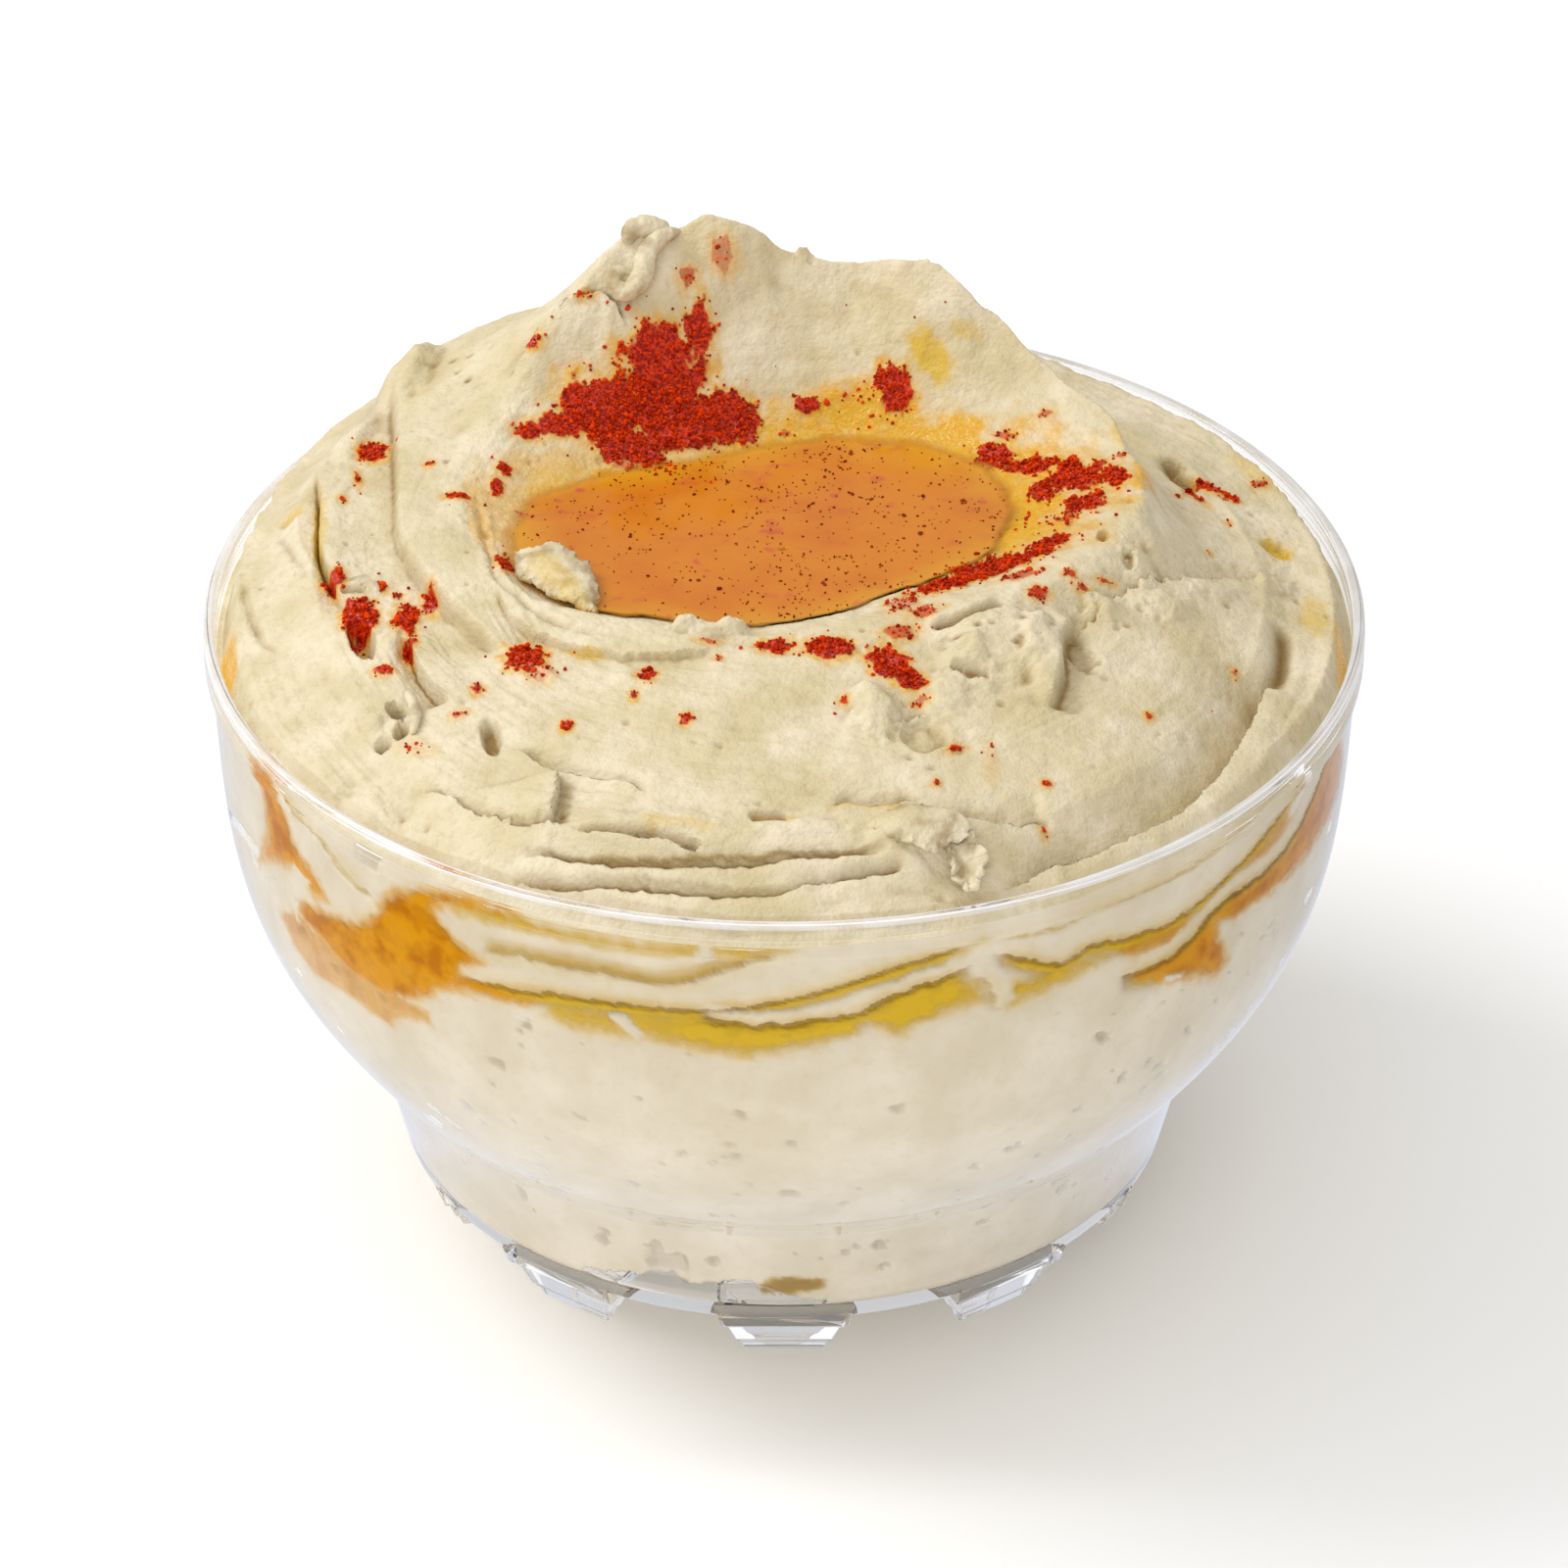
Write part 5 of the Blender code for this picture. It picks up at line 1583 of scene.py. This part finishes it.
class HUMMUS_OT_scraps(bpy.types.Operator):
    """Curl the bits that tore off the swirl"""

    bl_idname = "hummus.scraps"
    bl_label = "Torn bits"

    def execute(self, context):
        finish = hummus_finish(context.scene.hummus_food, context.scene.hummus_oil)
        points, faces, count = [], [], 0
        for shape in (*map(self.sheet, SHEETS), *map(self.rope, ROPES)):
            points.append(shape[0])
            faces.append(shape[1] + count)
            count += len(shape[0])
        points = np.concatenate(points)
        x, y, z = points.T
        shaded = BROAD.layered(x / 2.6, y / 2.6, z / 2.6, layers=3)
        paints = {
            # painted shade laid on the torn bits in random patches
            "painted_shade": np.clip(0.1 + 0.7 * shaded, 0.0, 0.6),
            "gold": 0.5 * film(GOLD, x, y), "dust": np.zeros(count),
            "amber": np.clip(0.9 - (z - POOL_LEVEL), 0.0, 0.9) * (z > POOL_LEVEL - 1.0),
        }
        piece = add_mesh("torn_hummus", points, np.concatenate(faces), paints, None, finish)
        carry_over(piece, "hummus")
        return {"FINISHED"}

    def sheet(self, sheet):
        grid = resample(np.swapaxes(resample(sheet.rows, 30), 0, 1), 70)
        u = np.linspace(-1.0, 1.0, 70)[:, None]
        v = np.linspace(-1.0, 1.0, 30)[None]
        normals = unit(np.cross(np.gradient(grid, axis=0), np.gradient(grid, axis=1)))
        border = np.maximum(np.abs(u), np.abs(v))
        x, y, z = np.moveaxis(grid, -1, 0)
        tear = np.stack([BROAD.layered(x * 0.9, y * 0.9, z + k, layers=3) for k in (0.0, 9.0, 17.0)], -1)
        grid = grid + 0.55 * tear * (border**3)[..., None]
        swell = 0.5 * sheet.thickness * np.sqrt(1.0 - 0.94 * border**5)
        rough = 0.16 * FINE.layered(x / 1.1, y / 1.1, z / 1.1, layers=3)
        over = grid + normals * (swell + rough)[..., None]
        under = grid - normals * swell[..., None]
        i, k = np.meshgrid(np.arange(69), np.arange(29), indexing="ij")
        corners = (i * 30 + k, (i + 1) * 30 + k, (i + 1) * 30 + k + 1, i * 30 + k + 1)
        faces = np.stack(corners, -1).reshape(-1, 4)
        points = np.concatenate([over.reshape(-1, 3), under.reshape(-1, 3)])
        return points, triangles(shell_faces(faces, 70 * 30))

    def rope(self, rope):
        rings, sides = 12 * len(rope.path), 18
        path = resample(rope.path, rings)
        along = unit(np.gradient(path, axis=0))
        side = unit(np.cross(along, (0.25, -0.55, 0.8)))
        rise = np.cross(side, along)
        share = np.linspace(0.0, 1.0, rings)
        radius = resample(np.array(rope.radii)[:, None], rings)[:, 0]
        radius = radius * np.sqrt(np.clip(1.0 - np.abs(2.0 * share - 1.0) ** 8, 0.002, 1.0))
        turn = np.linspace(0.0, math.tau, sides, endpoint=False)[:, None, None]
        way = np.cos(turn) * side + np.sin(turn) * rise
        spots = path + way * radius[:, None]
        x, y, z = np.moveaxis(spots, -1, 0)
        rough = 0.22 * BROAD.layered(x / 1.2, y / 1.2, z / 1.2, layers=3)
        spots = spots + way * (rough * np.minimum(radius, 0.9))[..., None]
        faces = triangles(grid_faces(sides, rings))
        first, last = sides * rings, sides * rings + 1
        head = np.arange(sides) * rings
        tail = head + rings - 1
        start = np.stack([head, np.roll(head, -1), np.full(sides, first)], 1)
        end = np.stack([np.roll(tail, -1), tail, np.full(sides, last)], 1)
        points = np.concatenate([spots.reshape(-1, 3), path[:1], path[-1:]])
        return points, np.concatenate([faces, start, end])


class HUMMUS_OT_pool(bpy.types.Operator):
    """Fill the crater with spiced oil"""

    bl_idname = "hummus.pool"
    bl_label = "Oil pool"

    def execute(self, context):
        settings = context.scene.hummus_oil
        columns, rings = 200, 44
        angles = np.linspace(0.0, 360.0, columns, endpoint=False)[:, None]
        edge = around(POOL_EDGE, angles) + POOL_OVERLAP
        distance = np.linspace(0.01, 1.0, rings) * edge
        x = CRATER[0] + distance * np.cos(np.radians(angles))
        y = CRATER[1] + distance * np.sin(np.radians(angles))
        top = Top(x.ravel(), y.ravel())
        depth = (POOL_LEVEL - top.height).reshape(x.shape)
        climb = 0.28 * np.exp(-np.clip(depth, 0.0, None) / 0.22)
        level = POOL_LEVEL + np.where(depth > -0.3, climb, -0.4)
        upper = np.stack([x, y, level], -1)
        lower = upper.copy()
        lower[..., 2] = np.minimum(level - 0.05, POOL_LEVEL - np.clip(depth, 0.0, None) - 0.4)
        faces = shell_faces(grid_faces(columns, rings), columns * rings)
        points = np.concatenate([upper.reshape(-1, 3), lower.reshape(-1, 3)])
        shade = np.clip(depth / 3.2, 0.0, 1.0)
        piece = add_mesh(
            "oil_in_crater", points, faces, {"depth": np.tile(shade.ravel(), 2)},
            None, pool_finish(settings),
        )
        carry_over(piece, "spiced_oil", "oil_pool")
        return {"FINISHED"}


def crumb_shape():
    """A rough crumb: points and triangles of an icosahedron."""
    bm = bmesh.new()
    bmesh.ops.create_icosphere(bm, subdivisions=1, radius=1.0)
    points = np.array([v.co[:] for v in bm.verts])
    faces = np.array([[v.index for v in f.verts] for f in bm.faces])
    bm.free()
    return points, faces


def scatter(name, spots, sizes, flatness, random, material):
    """Crumbs at spots in millimetres, each one turned, squashed and dented in its own way."""
    shape, faces = crumb_shape()
    count = len(spots)
    w, x, y, z = unit(random.normal(size=(count, 4))).T
    spin = np.stack([
        1 - 2 * (y * y + z * z), 2 * (x * y - w * z), 2 * (x * z + w * y),
        2 * (x * y + w * z), 1 - 2 * (x * x + z * z), 2 * (y * z - w * x),
        2 * (x * z - w * y), 2 * (y * z + w * x), 1 - 2 * (x * x + y * y),
    ], 1).reshape(-1, 3, 3)
    body = shape[None] * (1.0 + random.uniform(-0.3, 0.3, (count, len(shape), 1)))
    body = body * np.stack([np.ones(count), random.uniform(0.6, 1.0, count), flatness], 1)[:, None]
    body = np.einsum("nij,nvj->nvi", spin, body) * (0.5 * sizes)[:, None, None]
    points = (body + spots[:, None]).reshape(-1, 3)
    faces = (faces[None] + (np.arange(count) * len(shape))[:, None, None]).reshape(-1, 3)
    tone = np.repeat(random.uniform(0.0, 1.0, count), len(shape))
    return add_mesh(name, points, faces, {"tone": tone}, None, material, smooth=False)


class HUMMUS_OT_spice(bpy.types.Operator):
    """Dust the hummus with paprika and float specks in the oil"""

    bl_idname = "hummus.spice"
    bl_label = "Paprika"

    def execute(self, context):
        settings = context.scene.hummus_spice
        random = np.random.default_rng(settings.seed)
        self.dust(settings, random)
        self.float_specks(settings, random)
        return {"FINISHED"}

    def dust(self, settings, random):
        spots = []
        for patch in SPICE:
            area = math.pi * patch.long * patch.short
            count = int(area * 1.3 * patch.cover * settings.crowding) + 3
            radius = 1.15 * np.sqrt(random.uniform(0.0, 1.0, count))
            radius *= 1.0 + 0.25 * np.abs(random.normal(size=count)) ** 3
            turn = random.uniform(0.0, math.tau, count)
            along, across = radius * np.cos(turn) * patch.long, radius * np.sin(turn) * patch.short
            lean = math.radians(patch.turn)
            spots.append(np.stack([
                patch.x + along * math.cos(lean) - across * math.sin(lean),
                patch.y + along * math.sin(lean) + across * math.cos(lean),
            ], 1))
        spots = np.concatenate(spots)
        cover = spice_cover(spots[:, 0], spots[:, 1])[0]
        kept = random.uniform(0.0, 1.0, len(spots)) < 0.10 + 0.9 * cover
        kept &= np.hypot(spots[:, 0], spots[:, 1]) < RIM_RADIUS - 3.0
        spots = spots[kept]
        top = Top(spots[:, 0], spots[:, 1])
        height = top.height
        sizes = settings.grain / MM * random.lognormal(0.0, 0.32, len(spots))
        afloat = (height < POOL_LEVEL) & (top.distance < around(POOL_EDGE, top.angle))
        height = np.where(afloat, POOL_LEVEL, height)
        height = height + sizes * random.uniform(0.0, 0.35, len(spots))
        places = np.stack([spots[:, 0], spots[:, 1], height], 1)
        piece = scatter(
            "paprika_grains", places, sizes, random.uniform(0.5, 0.9, len(spots)), random,
            grain_finish("paprika_finish", settings.dark, settings.light),
        )
        carry_over(piece, "paprika")

    def float_specks(self, settings, random):
        turn = random.uniform(0.0, 360.0, settings.specks * 3)
        edge = around(POOL_EDGE, turn)
        distance = edge * np.sqrt(random.uniform(0.0, 1.0, len(turn))) * 0.98
        x = CRATER[0] + distance * np.cos(np.radians(turn))
        y = CRATER[1] + distance * np.sin(np.radians(turn))
        clouds = step(-0.3, 0.5, BROAD.at(x / 9.0, y / 9.0, 8.0) + 0.2)
        crowd = 0.25 + 0.75 * step(-14.0, 8.0, y) * clouds
        kept = random.uniform(0.0, 1.0, len(turn)) < crowd
        x, y = x[kept][: settings.specks], y[kept][: settings.specks]
        sizes = 0.24 * random.lognormal(0.0, 0.42, len(x))
        places = np.stack([x, y, np.full(len(x), POOL_LEVEL) + 0.03], 1)
        piece = scatter(
            "oil_specks", places, sizes, np.full(len(x), 0.5), random,
            grain_finish("oil_speck_finish", (0.10, 0.008, 0.002), (0.34, 0.05, 0.01), 0.35),
        )
        carry_over(piece, "paprika")


class HUMMUS_PT_sidebar(bpy.types.Panel):
    """Everything that makes the bowl of hummus"""

    bl_idname = "HUMMUS_PT_sidebar"
    bl_label = "Hummus"
    bl_space_type = "VIEW_3D"
    bl_region_type = "UI"
    bl_category = "Hummus"

    def draw(self, context):
        for operator, settings in STEPS:
            box = self.layout.box()
            box.operator(operator.bl_idname)
            group = getattr(context.scene, settings)
            for name in group.__annotations__:
                box.prop(group, name)


STEPS = (
    (HUMMUS_OT_stage, "hummus_stage"), (HUMMUS_OT_bowl, "hummus_bowl"),
    (HUMMUS_OT_food, "hummus_food"), (HUMMUS_OT_scraps, "hummus_food"),
    (HUMMUS_OT_pool, "hummus_oil"), (HUMMUS_OT_spice, "hummus_spice"),
)
GROUPS = {
    "hummus_stage": StageSettings, "hummus_bowl": BowlSettings, "hummus_food": FoodSettings,
    "hummus_oil": OilSettings, "hummus_spice": SpiceSettings,
}
CLASSES = (*GROUPS.values(), *(operator for operator, settings in STEPS), HUMMUS_PT_sidebar)


def register():
    for cls in CLASSES:
        bpy.utils.register_class(cls)
    for name, group in GROUPS.items():
        setattr(bpy.types.Scene, name, PointerProperty(type=group))


def unregister():
    for name in GROUPS:
        delattr(bpy.types.Scene, name)
    for cls in reversed(CLASSES):
        bpy.utils.unregister_class(cls)


def main():
    register()
    for obj in list(bpy.data.objects):
        if obj.name in ("Cube", "Light", "Camera"):
            bpy.data.objects.remove(obj, do_unlink=True)
    bpy.ops.hummus.stage()
    bpy.ops.hummus.bowl()
    bpy.ops.hummus.food()
    bpy.ops.hummus.scraps()
    bpy.ops.hummus.pool()
    bpy.ops.hummus.spice()


if __name__ == "__main__":
    main()
